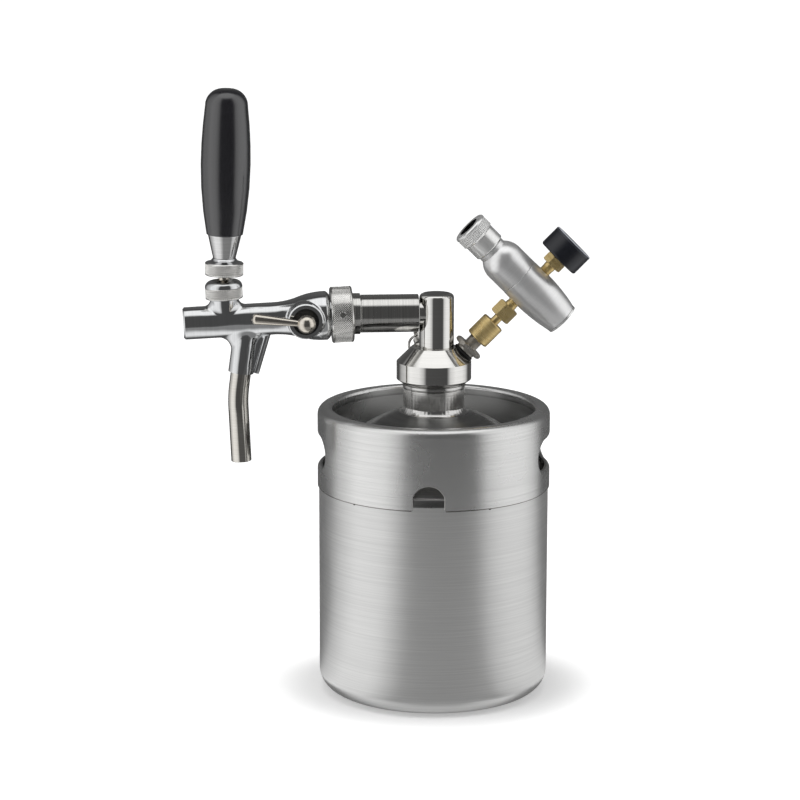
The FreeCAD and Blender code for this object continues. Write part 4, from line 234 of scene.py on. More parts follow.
def rounded(before: np.ndarray, corner: np.ndarray, after: np.ndarray, soft: float) -> np.ndarray:
    """Points of a rounded corner: a circle that touches both runs, with one support point on each side.

    Args:
        before: previous corner.
        corner: the corner that is rounded.
        after: next corner.
        soft: radius of the rounding, kept within 0.45 of the shorter run.

    Returns:
        Points in order, two columns.
    """
    back, on = before - corner, after - corner
    reach = 0.45 * min(np.linalg.norm(back), np.linalg.norm(on))
    back, on = back / np.linalg.norm(back), on / np.linalg.norm(on)
    half = 0.5 * math.acos(float(np.clip(back @ on, -1, 1)))
    if half > 1.5:
        return corner[None, :]
    length = min(soft / math.tan(half), reach)
    radius = length * math.tan(half)
    middle = (back + on) / np.linalg.norm(back + on)
    centre = corner + middle * math.hypot(length, radius)
    spread = math.pi / 2 - half
    turn = np.linspace(-spread, spread, max(5, int(spread * 8) + 1))
    side = np.sign(back[1] * on[0] - back[0] * on[1])
    c, s = np.cos(turn * side), np.sin(turn * side)
    arc = centre + radius * np.stack([-middle[0] * c + middle[1] * s, -middle[0] * s - middle[1] * c], 1)
    support = min(0.3, 0.25 * length + 0.04)
    return np.vstack([corner + back * (length + support), arc, corner + on * (length + support)])


def arc_points(start: np.ndarray, end: np.ndarray, radius: float) -> np.ndarray:
    """Points of an arc after its start: the circle through both ends whose centre lies left or right of the way."""
    chord = end - start
    length = np.linalg.norm(chord)
    normal = np.array([-chord[1], chord[0]]) / length * np.sign(radius)
    size = max(abs(radius), length / 2)
    centre = (start + end) / 2 + normal * math.sqrt(max(size * size - length * length / 4, 0))
    first = math.atan2(*(start - centre)[::-1])
    sweep = 2 * math.asin(min(length / 2 / size, 1)) * np.sign(radius)
    angles = first + np.linspace(0, sweep, max(4, int(abs(sweep) / math.radians(4)) + 2))[1:]
    return centre + size * np.stack([np.cos(angles), np.sin(angles)], 1)


def trace(corners: Sequence[Corner], closed: bool) -> Outline:
    """Works an outline's corners, arcs and roundings out to points.

    Args:
        corners: in order, with the solid on the left of the way.
        closed: True where the last corner joins the first.

    Returns:
        The outline; a closed one ends on its first point.
    """
    count = len(corners)
    spots = [np.array([c.radius, c.height], float) for c in corners]
    parts: list[np.ndarray] = []
    marks: list[np.ndarray] = []
    for index, corner in enumerate(corners):
        after = corners[(index + 1) % count]
        inside = closed or 0 < index < count - 1
        if inside and corner.soft and not corner.arc and not after.arc:
            made = rounded(spots[index - 1], spots[index], spots[(index + 1) % count], corner.soft)
        elif corner.arc:
            made = arc_points(spots[index - 1], spots[index], corner.arc)
        else:
            made = spots[index][None, :]
        if corner.step and parts:
            made = np.vstack([divided(parts[-1][-1], made[0], corner.step), made])
        parts.append(made)
        marks.append(np.full(len(made), corner.second))
    points, second = np.vstack(parts), np.concatenate(marks)
    if closed:
        points, second = np.vstack([points, points[:1]]), np.append(second, corners[0].second)
    return Outline(points, second)


def divided(start: np.ndarray, end: np.ndarray, step: float) -> np.ndarray:
    """Inner points of a straight run, as evenly spaced as the step allows."""
    share = np.linspace(0, 1, max(2, round(np.linalg.norm(end - start) / step) + 1))[1:-1, None]
    return start + share * (end - start)


# ---------------------------------------------------------------- reliefs
def ridge(phase: np.ndarray) -> np.ndarray:
    """A triangle wave: 0 where phase is whole, 1 half-way between."""
    return 1 - np.abs(2 * (phase - np.floor(phase)) - 1)


def within(height: np.ndarray, low: float, high: float, fade: float) -> np.ndarray:
    """1 between two heights, falling to 0 over the fade at both ends."""
    return np.clip(np.minimum(height - low, high - height) / fade, 0, 1)


class Cut(Enum):
    """How a knurl's grooves run."""

    DIAMOND = "crossed helices"
    GRID = "along and around"
    STRAIGHT = "along"


@dataclass(frozen=True)
class Knurl:
    """Grooves pressed into a round face: radius less depth times one minus the ridge wave."""

    low: float
    high: float
    face: float
    pitch: float
    depth: float
    cut: Cut = Cut.DIAMOND
    fade: float = 0.3

    @property
    def teeth(self) -> int:
        """Teeth round the face, to the nearest whole one."""
        return round(2 * math.pi * self.face / self.pitch)

    def __call__(self, radius: np.ndarray, height: np.ndarray, angle: np.ndarray) -> np.ndarray:
        """Radius after the grooves."""
        around = self.teeth * angle / (2 * math.pi)
        along = (height - self.low) / self.pitch
        if self.cut is Cut.DIAMOND:
            wave = np.minimum(ridge(around + along), ridge(around - along))
        elif self.cut is Cut.GRID:
            wave = np.minimum(ridge(around), ridge(along)) ** 0.6
        else:
            wave = ridge(around) + 0 * along
        on_face = within(height, self.low, self.high, self.fade) * (radius > self.face - 0.02)
        return radius - self.depth * (1 - wave) * on_face


@dataclass(frozen=True)
class Thread:
    """A helical V groove, or a ridge on an inner face where depth is negative."""

    low: float
    high: float
    face: float
    pitch: float
    depth: float

    def __call__(self, radius: np.ndarray, height: np.ndarray, angle: np.ndarray) -> np.ndarray:
        """Radius after the thread is cut."""
        wave = ridge(height / self.pitch - angle / (2 * math.pi))
        on_face = within(height, self.low, self.high, self.pitch) * (np.abs(radius - self.face) < 0.02)
        return radius - self.depth * (1 - wave) * on_face


@dataclass(frozen=True)
class Hexagon:
    """Six flats: the radius is cut back to half the width across flats over the cosine to the nearest flat."""

    low: float
    high: float
    flat: float

    def __call__(self, radius: np.ndarray, height: np.ndarray, angle: np.ndarray) -> np.ndarray:
        """Radius after the flats are milled."""
        nearest = (angle % (math.pi / 3)) - math.pi / 6
        limit = self.flat / np.cos(nearest)
        inside = (height > self.low - 1e-6) & (height < self.high + 1e-6) & (radius > self.flat * 0.9)
        return np.where(inside, np.minimum(radius, limit), radius)


@dataclass(frozen=True)
class Ripple:
    """A hand-run weld bead: the radius rises and falls in overlapping waves round the seam."""

    low: float
    high: float
    count: int
    size: float

    def __call__(self, radius: np.ndarray, height: np.ndarray, angle: np.ndarray) -> np.ndarray:
        """Radius with the bead's ripples."""
        drift = 0.35 * np.sin(3 * angle + 0.7) + 0.2 * np.sin(7 * angle)
        wave = 0.6 * np.abs(np.sin(self.count / 2 * angle + drift)) + 0.4 * np.sin(5 * angle + 1.1)
        return radius + self.size * (wave - 0.8) * within(height, self.low, self.high, 0.8)


@dataclass(frozen=True)
class Gap:
    """A stretch of a ring that sinks inward, where an opening interrupts it."""

    middle: float
    half: float
    drop: float

    def __call__(self, radius: np.ndarray, height: np.ndarray, angle: np.ndarray) -> np.ndarray:
        """Radius with the stretch sunk."""
        off = (np.degrees(angle) - self.middle + 180) % 360 - 180
        return radius - self.drop * (np.abs(off) < self.half)


# ---------------------------------------------------------------- meshes
@dataclass
class Surface:
    """A mesh as arrays: points in metres, faces as index lists, UVs per corner and the finish of each face."""

    points: np.ndarray
    faces: list[list[int]]
    uv: np.ndarray
    second: np.ndarray

    def mesh(self, name: str) -> bpy.types.Mesh:
        """Puts the arrays into a Blender mesh with smooth faces and the UV map "skin"."""
        made = bpy.data.meshes.new(name)
        made.from_pydata(self.points.tolist(), [], self.faces)
        made.uv_layers.new(name="skin").data.foreach_set("uv", self.uv.astype(np.float32).ravel())
        made.polygons.foreach_set("material_index", self.second.astype(np.int32))
        made.polygons.foreach_set("use_smooth", np.ones(len(self.faces), bool))
        made.update()
        return made

    def joined(self, other: "Surface") -> "Surface":
        """This surface and another one as a single mesh."""
        shift = len(self.points)
        moved = [[index + shift for index in face] for face in other.faces]
        return Surface(np.vstack([self.points, other.points]), self.faces + moved,
                       np.vstack([self.uv, other.uv]), np.concatenate([self.second, other.second]))


def grid_faces(rows: np.ndarray, lengths: np.ndarray, second: np.ndarray,
               counts: int) -> tuple[list[list[int]], np.ndarray, np.ndarray]:
    """Faces between neighbouring rows of point numbers; a row that repeats one number is a pole.

    Args:
        rows: point numbers, one row per outline point, one column per direction.
        lengths: V of each row.
        second: finish of the run that arrives at each row.
        counts: number of directions round the axis.

    Returns:
        Faces, the UV of each face corner, and the finish of each face.
    """
    low, high = rows[:-1], rows[1:]
    right = np.roll(low, -1, 1), np.roll(high, -1, 1)
    quads = np.stack([low, right[0], right[1], high], 2)
    u0 = np.broadcast_to(np.arange(counts) / counts, low.shape)
    u1 = u0 + 1 / counts
    v0 = np.broadcast_to(lengths[:-1, None], low.shape)
    v1 = np.broadcast_to(lengths[1:, None], low.shape)
    uv = np.stack([np.stack([u0, v0], 2), np.stack([u1, v0], 2), np.stack([u1, v1], 2), np.stack([u0, v1], 2)], 2)
    mark = np.broadcast_to(second[1:, None], low.shape)
    pole_low = low[:, 0] == low[:, 1]
    pole_high = high[:, 0] == high[:, 1]
    plain = ~(pole_low | pole_high)
    faces = quads[plain].reshape(-1, 4).tolist()
    corners = [uv[plain].reshape(-1, 2)]
    marks = [mark[plain].ravel()]
    for chosen, keep in ((pole_low & ~pole_high, [0, 2, 3]), (pole_high & ~pole_low, [0, 1, 2])):
        if chosen.any():
            faces += quads[chosen][:, :, keep].reshape(-1, 3).tolist()
            corners.append(uv[chosen][:, :, keep].reshape(-1, 2))
            marks.append(mark[chosen].ravel())
    return faces, np.vstack(corners), np.concatenate(marks)


def lathe(corners: Sequence[Corner], at: np.ndarray, count: int = 128, closed: bool = False,
          reliefs: Sequence[Relief] = ()) -> Surface:
    """Carries an outline round an axis: x = r cos(a), y = r sin(a), z = height.

    Args:
        corners: the outline.
        at: frame of the axis.
        count: directions round the axis.
        closed: True for a hollow piece, whose outline joins itself.
        reliefs: functions of radius, height and angle that give the radius.

    Returns:
        The surface in metres.
    """
    outline = trace(corners, closed)
    ring = outline.points[:-1] if closed else outline.points
    angle = np.broadcast_to(np.arange(count) * 2 * math.pi / count, (len(ring), count))
    radius = np.broadcast_to(ring[:, :1], angle.shape)
    height = np.broadcast_to(ring[:, 1:], angle.shape)
    for relief in reliefs:
        radius = relief(radius, height, angle)
    grid = np.stack([radius * np.cos(angle), radius * np.sin(angle), height], 2)
    on_axis = ring[:, 0] < 1e-6
    sizes = np.where(on_axis, 1, count)
    starts = np.concatenate([[0], np.cumsum(sizes)[:-1]])
    rows = starts[:, None] + np.where(on_axis[:, None], 0, np.arange(count))
    points = np.vstack([grid[i, :sizes[i]] for i in range(len(ring))])
    if closed:
        rows = np.vstack([rows, rows[:1]])
    faces, uv, second = grid_faces(rows, outline.lengths * MM, outline.second, count)
    return Surface(moved(points, at), faces, uv, second)


def moved(points: np.ndarray, at: np.ndarray) -> np.ndarray:
    """Points of a frame in millimetres as places in metres."""
    return (points @ at[:3, :3].T + at[:3, 3]) * MM


def rod(radius: float, low: float, high: float, at: np.ndarray, count: int = 64) -> Surface:
    """A plain round cutter between two heights."""
    corners = [Corner(0, low), Corner(radius, low), Corner(radius, high), Corner(0, high)]
    return lathe(corners, at, count)


def tube(path: np.ndarray, ring: Sequence[Corner], count: int) -> Surface:
    """Carries a closed wall outline down a bent path.

    The section at each path point stands square to it: point + radius (cos a side + sin a up).  The outline's
    height is the share of the path, so that the end faces and their rounded edges come from the same outline.

    Args:
        path: centre line in metres, evenly spaced, which runs in the XZ plane or close to it.
        ring: outline of the wall, height 0 to 1 along the path.
        count: directions round the tube.

    Returns:
        The closed surface.
    """
    outline = trace(ring, True)
    spots = outline.points[:-1]
    share = np.clip(spots[:, 1], 0, 1) * (len(path) - 1)
    base = np.minimum(share.astype(int), len(path) - 2)
    part = (share - base)[:, None]
    centre = path[base] * (1 - part) + path[base + 1] * part
    tangent = np.gradient(path, axis=0)
    tangent /= np.linalg.norm(tangent, axis=1, keepdims=True)
    ahead = tangent[base] * (1 - part) + tangent[base + 1] * part
    across = np.stack([-ahead[:, 2], np.zeros(len(ahead)), ahead[:, 0]], 1)
    side = np.cross(ahead, across)
    angle = np.arange(count) * 2 * math.pi / count
    turn = np.cos(angle)[None, :, None] * across[:, None] + np.sin(angle)[None, :, None] * side[:, None]
    grid = centre[:, None] + spots[:, :1, None] * MM * turn
    rows = np.arange(len(spots))[:, None] * count + np.arange(count)
    faces, uv, second = grid_faces(np.vstack([rows, rows[:1]]), outline.lengths * MM, outline.second, count)
    return Surface(grid.reshape(-1, 3), faces, uv, second)


def prism(corners: Sequence[tuple[float, float]], half: float, at: np.ndarray) -> Surface:
    """A plate with a straight-sided outline in the XZ plane of a frame, half thick to both sides."""
    flat = np.array(corners)
    count = len(flat)
    sides = [np.column_stack([flat[:, 0], np.full(count, y), flat[:, 1]]) for y in (-half, half)]
    ring = list(range(count))
    faces = [ring, [count + i for i in ring[::-1]]]
    faces += [[(i + 1) % count, i, count + i, count + (i + 1) % count] for i in ring]
    points = moved(np.vstack(sides), at)
    turned_in = np.dot(np.cross(points[1] - points[0], points[2] - points[1]), points[0] - points[count]) < 0
    if turned_in:
        faces = [face[::-1] for face in faces]
    total = sum(len(face) for face in faces)
    return Surface(points, faces, np.zeros((total, 2)), np.zeros(len(faces), bool))


# ---------------------------------------------------------------- colour and nodes
def linear(code: str) -> tuple[float, float, float, float]:
    """An sRGB hex colour as linear RGBA: the sRGB curve undone."""
    parts = [int(code[i:i + 2], 16) / 255 for i in (1, 3, 5)]
    return (*[v / 12.92 if v <= 0.04045 else ((v + 0.055) / 1.055) ** 2.4 for v in parts], 1.0)


def add(tree: Tree, kind: str, sockets: Optional[dict] = None, **settings: object) -> bpy.types.Node:
    """Adds a node, sets its properties, and fills or links its inputs.

    Args:
        tree: the node tree.
        kind: the node's type after "ShaderNode".
        sockets: input name or number to a value, or to an output that is linked to it.
        settings: the node's own properties.

    Returns:
        The node.
    """
    made = tree.nodes.new("ShaderNode" + kind)
    for name, value in settings.items():
        setattr(made, name, value)
    for name, value in (sockets or {}).items():
        if isinstance(value, Socket):
            tree.links.new(value, made.inputs[name])
        else:
            made.inputs[name].default_value = value
    return made


def ranged(tree: Tree, value: Socket, source: tuple[float, float],
           result: tuple[float, float], **settings: object) -> Socket:
    """A value mapped from the source range to the result range."""
    return add(tree, "MapRange", {"Value": value, "From Min": source[0], "From Max": source[1],
                                  "To Min": result[0], "To Max": result[1]}, **settings).outputs[0]


def spread(tree: Tree, value: Socket, low: float, high: float) -> Socket:
    """A 0..1 noise value stretched over a range."""
    return ranged(tree, value, NOISE_RANGE, (low, high), clamp=True)


def worked(tree: Tree, operation: str, *values: object) -> Socket:
    """The result of a mathematical operation on one or two values."""
    return add(tree, "Math", dict(enumerate(values)), operation=operation).outputs[0]


def mixed(tree: Tree, share: object, first: object, second: object, **settings: object) -> Socket:
    """Two colours mixed: the first where share is 0, the second where it is 1."""
    return add(tree, "Mix", {0: share, 6: first, 7: second}, data_type="RGBA", **settings).outputs[2]


def noise(tree: Tree, spot: Socket, scale: float, detail: float, **more: float) -> Socket:
    """Noise at spot, with a scale per unit of spot."""
    return add(tree, "TexNoise", {"Vector": spot, "Scale": scale, "Detail": detail, **more}).outputs[0]


def raised(tree: Tree, height: Socket, depth: float, strength: float = 1.0) -> Socket:
    """The normal of a surface with this height, whose full depth is in millimetres."""
    return add(tree, "Bump", {"Height": height, "Strength": strength, "Distance": depth * MM}).outputs[0]


def compass(tree: Tree, spot: Socket) -> tuple[Socket, Socket, Socket]:
    """Height, distance towards the front, and angle from the front round the vertical, of a place or direction."""
    axes = add(tree, "SeparateXYZ", {0: spot}).outputs
    front = worked(tree, "MULTIPLY", axes[1], -1.0)
    return axes[2], front, worked(tree, "ARCTAN2", axes[0], front)


def emptied(owner: object) -> Tree:
    """The node tree of a material or world, with nothing in it."""
    owner.use_nodes = True
    owner.node_tree.nodes.clear()
    return owner.node_tree


def link(name: str, data: bpy.types.ID) -> bpy.types.Object:
    """An object of some data, in the scene."""
    made = bpy.data.objects.new(name, data)
    bpy.context.scene.collection.objects.link(made)
    return made


# ---------------------------------------------------------------- finishes
@dataclass(frozen=True)
class Metal:
    """A metal surface with fine tool or brush marks round an axis and cloudy variation in gloss.

    marks is the spacing of the marks in millimetres, lean the axis's angle from vertical towards +X in degrees,
    bump their depth in millimetres, and stretch how much the marks spread a highlight across themselves.  swell is
    the height in millimetres of the slow waves that hand polishing leaves.  cloudy and waves are how many clouds
    and waves there are in a metre.  The last field gives a radius and a height in metres inside and below which the
    colour is darkened as painted shade, and how much of its colour is left there.
    """

    name: str
    colour: str
    shade: str
    roughness: float
    vary: float = 0.03
    marks: float = 0.8
    bump: float = 0.0
    lean: float = 0.0
    stretch: float = 0.0
    length: float = 60.0
    grain: float = 0.0
    unwrapped: bool = True
    metallic: float = 1.0
    swell: float = 0.0
    cloudy: float = 38.0
    waves: float = 70.0
    dull: tuple[float, float, float] = (0.0, 0.0, 1.0)

    def material(self) -> bpy.types.Material:
        """Builds the node material once and reuses it."""
        found = bpy.data.materials.get(self.name)
        if found:
            return found
        made = bpy.data.materials.new(self.name)
        tree = emptied(made)
        spot = add(tree, "TexCoord").outputs["Object"]
        size = (self.length * MM, self.length * MM, self.marks * MM)
        lines = add(tree, "Mapping", {"Vector": spot, "Rotation": (0, math.radians(self.lean), 0), "Scale": size},
                    vector_type="TEXTURE").outputs[0]
        streak = noise(tree, lines, 1.0, 3.0, Roughness=0.6)
        cloud = noise(tree, spot, self.cloudy, 3.0)
        tint = mixed(tree, spread(tree, streak, 0.0, 1.0), linear(self.colour), linear(self.shade))
        # Painted shade: darker inside a radius and below a height.
        if self.dull[0]:
            tint = self.unpolished(tree, spot, tint)
        gloss = spread(tree, cloud, max(self.roughness - self.vary, 0.01), self.roughness + self.vary)
        inputs = {"Base Color": tint, "Metallic": self.metallic, "Roughness": gloss, "Anisotropic": self.stretch,
                  "Anisotropic Rotation": 0.25}
        if self.stretch:
            inputs["Tangent"] = self.tangent(tree, spot)
        height = streak
        if self.grain:
            height = worked(tree, "ADD", streak, noise(tree, spot, 1 / (self.grain * MM), 2.0))
        if self.bump:
            inputs["Normal"] = raised(tree, height, self.bump)
        if self.swell:
            inputs["Normal"] = raised(tree, noise(tree, spot, self.waves, 0.5), self.swell)
        shader = add(tree, "BsdfPrincipled", inputs)
        add(tree, "OutputMaterial", {"Surface": shader.outputs[0]})
        return made

    def unpolished(self, tree: Tree, spot: Socket, tint: Socket) -> Socket:
        """Painted shade: the tint darkened inside the shade's radius, over 0.6 mm, and below its height, over 3 mm.
        """
        reach, height, left = self.dull
        axes = add(tree, "SeparateXYZ", {0: spot}).outputs
        flat = add(tree, "CombineXYZ", {0: axes[0], 1: axes[1]}).outputs[0]
        radius = add(tree, "VectorMath", {0: flat}, operation="LENGTH").outputs["Value"]
        near = ranged(tree, radius, (reach - 0.0006, reach), (1.0, 0.0), clamp=True)
        low = ranged(tree, axes[2], (height - 0.003, height), (1.0, 0.0), clamp=True)
        darker = mixed(tree, 1.0, tint, (left, left, left, 1), blend_type="MULTIPLY")
        return mixed(tree, worked(tree, "MULTIPLY", near, low), tint, darker)

    def tangent(self, tree: Tree, spot: Socket) -> Socket:
        """Direction of the marks: along U of the skin map, or round the keg's axis, Z x place, without a map."""
        if self.unwrapped:
            return add(tree, "Tangent", direction_type="UV_MAP", uv_map="skin").outputs[0]
        around = add(tree, "VectorMath", {0: (0, 0, 1), 1: spot}, operation="CROSS_PRODUCT").outputs[0]
        return add(tree, "VectorTransform", {0: around}, vector_type="VECTOR", convert_from="OBJECT",
                   convert_to="WORLD").outputs[0]


@dataclass(frozen=True)
class Moulded:
    """Plastic, rubber or enamel: a body colour with slight mottling, moulding texture and an optional gloss coat."""

    name: str
    colour: str
    shade: str
    roughness: float
    grain: float = 0.4
    bump: float = 0.005
    coat: float = 0.0
    coat_blur: float = 0.03
    clear: float = 0.0
    index: float = 1.5
    vary: float = 0.03
    cloudy: float = 60.0

    def material(self) -> bpy.types.Material:
        """Builds the node material once and reuses it."""
        found = bpy.data.materials.get(self.name)
        if found:
            return found
        made = bpy.data.materials.new(self.name)
        tree = emptied(made)
        spot = add(tree, "TexCoord").outputs["Object"]
        cloud = noise(tree, spot, self.cloudy, 4.0)
        speck = noise(tree, spot, 1 / (self.grain * MM), 2.0)
        tint = mixed(tree, spread(tree, cloud, 0, 1), linear(self.colour), linear(self.shade))
        gloss = spread(tree, cloud, max(self.roughness - self.vary, 0.01), self.roughness + self.vary)
        normal = raised(tree, speck, self.bump, 0.5)
        shader = add(tree, "BsdfPrincipled", {"Base Color": tint, "Roughness": gloss, "IOR": self.index,
                                              "Normal": normal, "Coat Weight": self.coat,
                                              "Coat Roughness": self.coat_blur,
                                              "Transmission Weight": self.clear})
        add(tree, "OutputMaterial", {"Surface": shader.outputs[0]})
        return made


# Drawn stainless sheet, brushed round the keg: soft upright bands of light, fine level lines.  The real lines are
# 0.1 mm apart, drawn 0.9 mm apart so that they show.
KEG_STEEL = Metal("brushed_stainless_sheet", "#DBDBDA", "#CECECD", 0.33, 0.03, 0.9, 0.0015, stretch=0.3, length=90,
                  metallic=0.84)
# The collar's inner face, below 0.2 m, is darkened as painted shade.
COLLAR_STEEL = Metal("brushed_stainless_collar", "#DEDEDD", "#D2D2D1", 0.26, 0.03, 0.9, 0.0015, stretch=0.3,
                     length=90, unwrapped=False, metallic=0.93, dull=(0.0815, 0.2035, 0.42))
# Darker than the wall's steel: painted shade for the dome down inside the collar.
DOME_STEEL = Metal("spun_stainless_dome_painted_shade", "#A2A2A1", "#8C8C8B", 0.30, 0.04, 1.1, 0.003, stretch=0.3, length=80)
NECK_STEEL = Metal("turned_stainless_neck", "#DAD9D7", "#C6C5C3", 0.18, 0.04, 0.8, 0.003, stretch=0.3, length=50)
# Dark weld metal for the tack welds; the same finish paints the shade in the crevice under the collar's edge.
WELD_AND_CREVICE_SHADE = Metal("tack_weld", "#6E6B67", "#3C3A38", 0.3, 0.06, 1.0, 0.02, length=2)
# Mirror-polished stainless: hard black and white stripes.
HEAD_STEEL = Metal("mirror_polished_stainless", "#E6E5E2", "#DCDBD8", 0.05, 0.015, 0.8, 0.0, length=60)
FACED_STEEL = Metal("faced_stainless", "#A9A9A8", "#9A9A99", 0.32, 0.04, 0.6, 0.002, length=40)
ARM_STEEL = Metal("fine_turned_stainless", "#DBDAD7", "#C6C5C2", 0.13, 0.03, 0.9, 0.002, lean=-90, stretch=0.3,
                  length=60)
# Polished chrome plating over brass: the sharpest reflections, faintly cool.
TAP_CHROME = Metal("polished_chrome_plate", "#DDDEDF", "#D4D5D6", 0.07, 0.02, 1.2, 0.0, lean=-92.6, swell=0.8)
KNURL_NICKEL = Metal("satin_nickel_knurl", "#EEEDEA", "#DAD9D6", 0.16, 0.04, 0.7, 0.0, length=6)
LEVER_NICKEL = Metal("polished_nickel", "#DDD7CD", "#CFC8BD", 0.19, 0.04, 0.8, 0.0, length=40)
# The gland is painted near black: painted shade in the recess round the ball.
SHADED_GLAND = Metal("gland_painted_shade", "#4A4A4A", "#343434", 0.34, 0.05, 0.6, 0.0, length=10)
VALVE_NICKEL = Metal("nickel_plated_brass", "#D2D1CE", "#B4B2AE", 0.2, 0.04, 0.8, 0.0, length=20)
FERRULE_STEEL = Metal("polished_steel_ferrule", "#D8D8D8", "#CECECE", 0.08, 0.02, 0.9, 0.0)
SPOUT_CHROME = Metal("polished_chrome_tube", "#DEDBD5", "#D3CFC8", 0.06, 0.02, 1.0, 0.0, length=50)
# Satin brass, turned and milled from bar: warm, with fine tool marks.
BRASS = Metal("satin_brass", "#E2CB92", "#CDB277", 0.27, 0.04, 0.7, 0.004, lean=45, length=30, metallic=0.78)
HARDWARE = Metal("turned_stainless_hardware", "#C9C5BE", "#AAA69F", 0.30, 0.05, 0.6, 0.004, lean=45, length=20,
                 metallic=0.8)
# Bead-blasted and clear anodised aluminium: pale, soft highlights with a very fine grain.
ALUMINIUM = Metal("bead_blasted_aluminium", "#F2F2F2", "#EAEAEA", 0.32, 0.03, 0.5, 0.006, lean=135, grain=0.45,
                  length=30, metallic=0.78)
TURNED_ALUMINIUM = Metal("fine_turned_aluminium", "#F6F6F5", "#ECECEB", 0.2, 0.04, 0.6, 0.003, lean=135,
                         length=50, metallic=0.72)
BORE_ALUMINIUM = Metal("shaded_thread", "#4A4A4A", "#2C2C2C", 0.42, 0.04, 0.6, 0.0, lean=135, length=10)
NECK_PLAIN = Metal("drawn_stainless_tube", "#D0CFCD", "#BDBCBA", 0.2, 0.04, 0.8, 0.0, length=50)
SPRING_STEEL = Metal("drawn_spring_steel", "#B8B8B6", "#9E9E9C", 0.25, 0.04, 0.4, 0.0, length=4)
BLACK_GRIP = Moulded("polished_phenolic", "#131317", "#17171C", 0.2, 0.9, 0.0004, coat=0.6, coat_blur=0.16,
                     index=1.8)
GAUGE_BLACK = Moulded("satin_black_enamel", "#101218", "#16181F", 0.28, 0.5, 0.004)
RUBBER = Moulded("nitrile_rubber", "#141414", "#1E1E1E", 0.62, 0.5, 0.01)
NYLON = Moulded("natural_nylon", "#DDDCD2", "#D0CFC4", 0.45, 0.6, 0.004)
DIAL_WHITE = Moulded("dial_enamel", "#EDEDE8", "#E4E4DE", 0.5, 0.5, 0.002)
DIAL_INK = Moulded("printed_dial_ink", "#101012", "#18181A", 0.55, 0.5, 0.002)
POINTER = Moulded("painted_pointer", "#1B1B1D", "#242427", 0.4, 0.5, 0.002)
CLEAR = Moulded("clear_acrylic", "#F4F6F6", "#EEF0F0", 0.04, 1.5, 0.0005, clear=0.96)
WINDOW_RING = Moulded("window_ring", "#2A2C31", "#34363C", 0.16, 0.8, 0.001)
# Pale paint on the ring's bevelled edge: a painted highlight.
RING_HIGHLIGHT = Moulded("window_ring_painted_highlight", "#C9CCD6", "#B9BCC6", 0.2, 0.8, 0.001)


# ---------------------------------------------------------------- pieces
def show(name: str, surface: Surface, finish: object, body: str, nodes: Sequence[str],
         second: Optional[object] = None, cutters: Sequence[Surface] = (), crease: float = 32.0) -> bpy.types.Object:
    """Makes a piece of the visual model and reports it.

    Args:
        name: the piece's name.
        surface: its shape.
        finish: its finish.
        body: the body that it rides on.
        nodes: the solids that it stands for, none where it only adds a detail to a solid that stays in view.
        second: finish of the runs marked second.
        cutters: shapes that are cut out of it.
        crease: faces that meet at more than this many degrees keep a hard edge.

    Returns:
        The object.
    """
    made = link(name, surface.mesh(name))
    made.data.materials.append(finish.material())
    if second:
        made.data.materials.append(second.material())
    if cutters:
        carve(made, cutters)
    made.data.set_sharp_from_angle(angle=math.radians(crease))
    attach(made, body)
    if nodes:
        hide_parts(*nodes)
    LOG.info("%s: %d faces, for %s", name, len(made.data.polygons), ", ".join(nodes) or "a detail")
    return made


def coil(at: np.ndarray, mean: float, wire: float, low: float, high: float, turns: int) -> Surface:
    """A round wire wound into a helix: radius mean + wire cos a, height rising evenly, + wire sin a, with flat ends.

    Args:
        at: frame of the winding's axis.
        mean: radius of the wire's centre line.
        wire: radius of the wire.
        low: lower end of the winding.
        high: its upper end.
        turns: number of turns.

    Returns:
        The closed surface.
    """
    steps, ring = 24 * turns + 1, 10
    share = np.linspace(0, 1, steps)[:, None]
    across = -np.linspace(0, 2 * math.pi, ring + 1)[None, :-1]
    wound = 2 * math.pi * turns * share
    reach = mean + wire * np.cos(across)
    height = low + wire + (high - low - 2 * wire) * share + wire * np.sin(across)
    skin = np.stack([reach * np.cos(wound), reach * np.sin(wound), height], 2).reshape(-1, 3)
    points = np.vstack([skin, [(mean, 0, low + wire), (mean, 0, high - wire)]])
    rows = np.vstack([np.full(ring, len(points) - 2), np.arange(steps * ring).reshape(steps, ring),
                      np.full(ring, len(points) - 1)])
    faces, uv, second = grid_faces(rows, np.linspace(0, 1, len(rows)), np.zeros(len(rows), int), ring)
    return Surface(moved(points, at), faces, uv, second)


def spring(name: str, wound: tuple[float, float, float, float, int], at: np.ndarray) -> None:
    """A wound spring between the head and the piece that it presses on.

    Args:
        name: the piece's name.
        wound: mean radius, wire radius, lower end, upper end and turns.
        at: frame of its axis.
    """
    made = link(name, coil(at, *wound).mesh(name))
    made.data.materials.append(SPRING_STEEL.material())
    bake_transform(made)
    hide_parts(name.removeprefix("wound_"))
    LOG.info("%s: %d faces, for %s", name, len(made.data.polygons), name.removeprefix("wound_"))


def close_up(mesh: bpy.types.Mesh) -> None:
    """Joins doubled points of a lettering mesh and turns its faces outward."""
    work = bmesh.new()
    work.from_mesh(mesh)
    bmesh.ops.remove_doubles(work, verts=work.verts, dist=2e-6)
    bmesh.ops.recalc_face_normals(work, faces=work.faces)
    work.to_mesh(mesh)
    work.free()
    mesh.update()


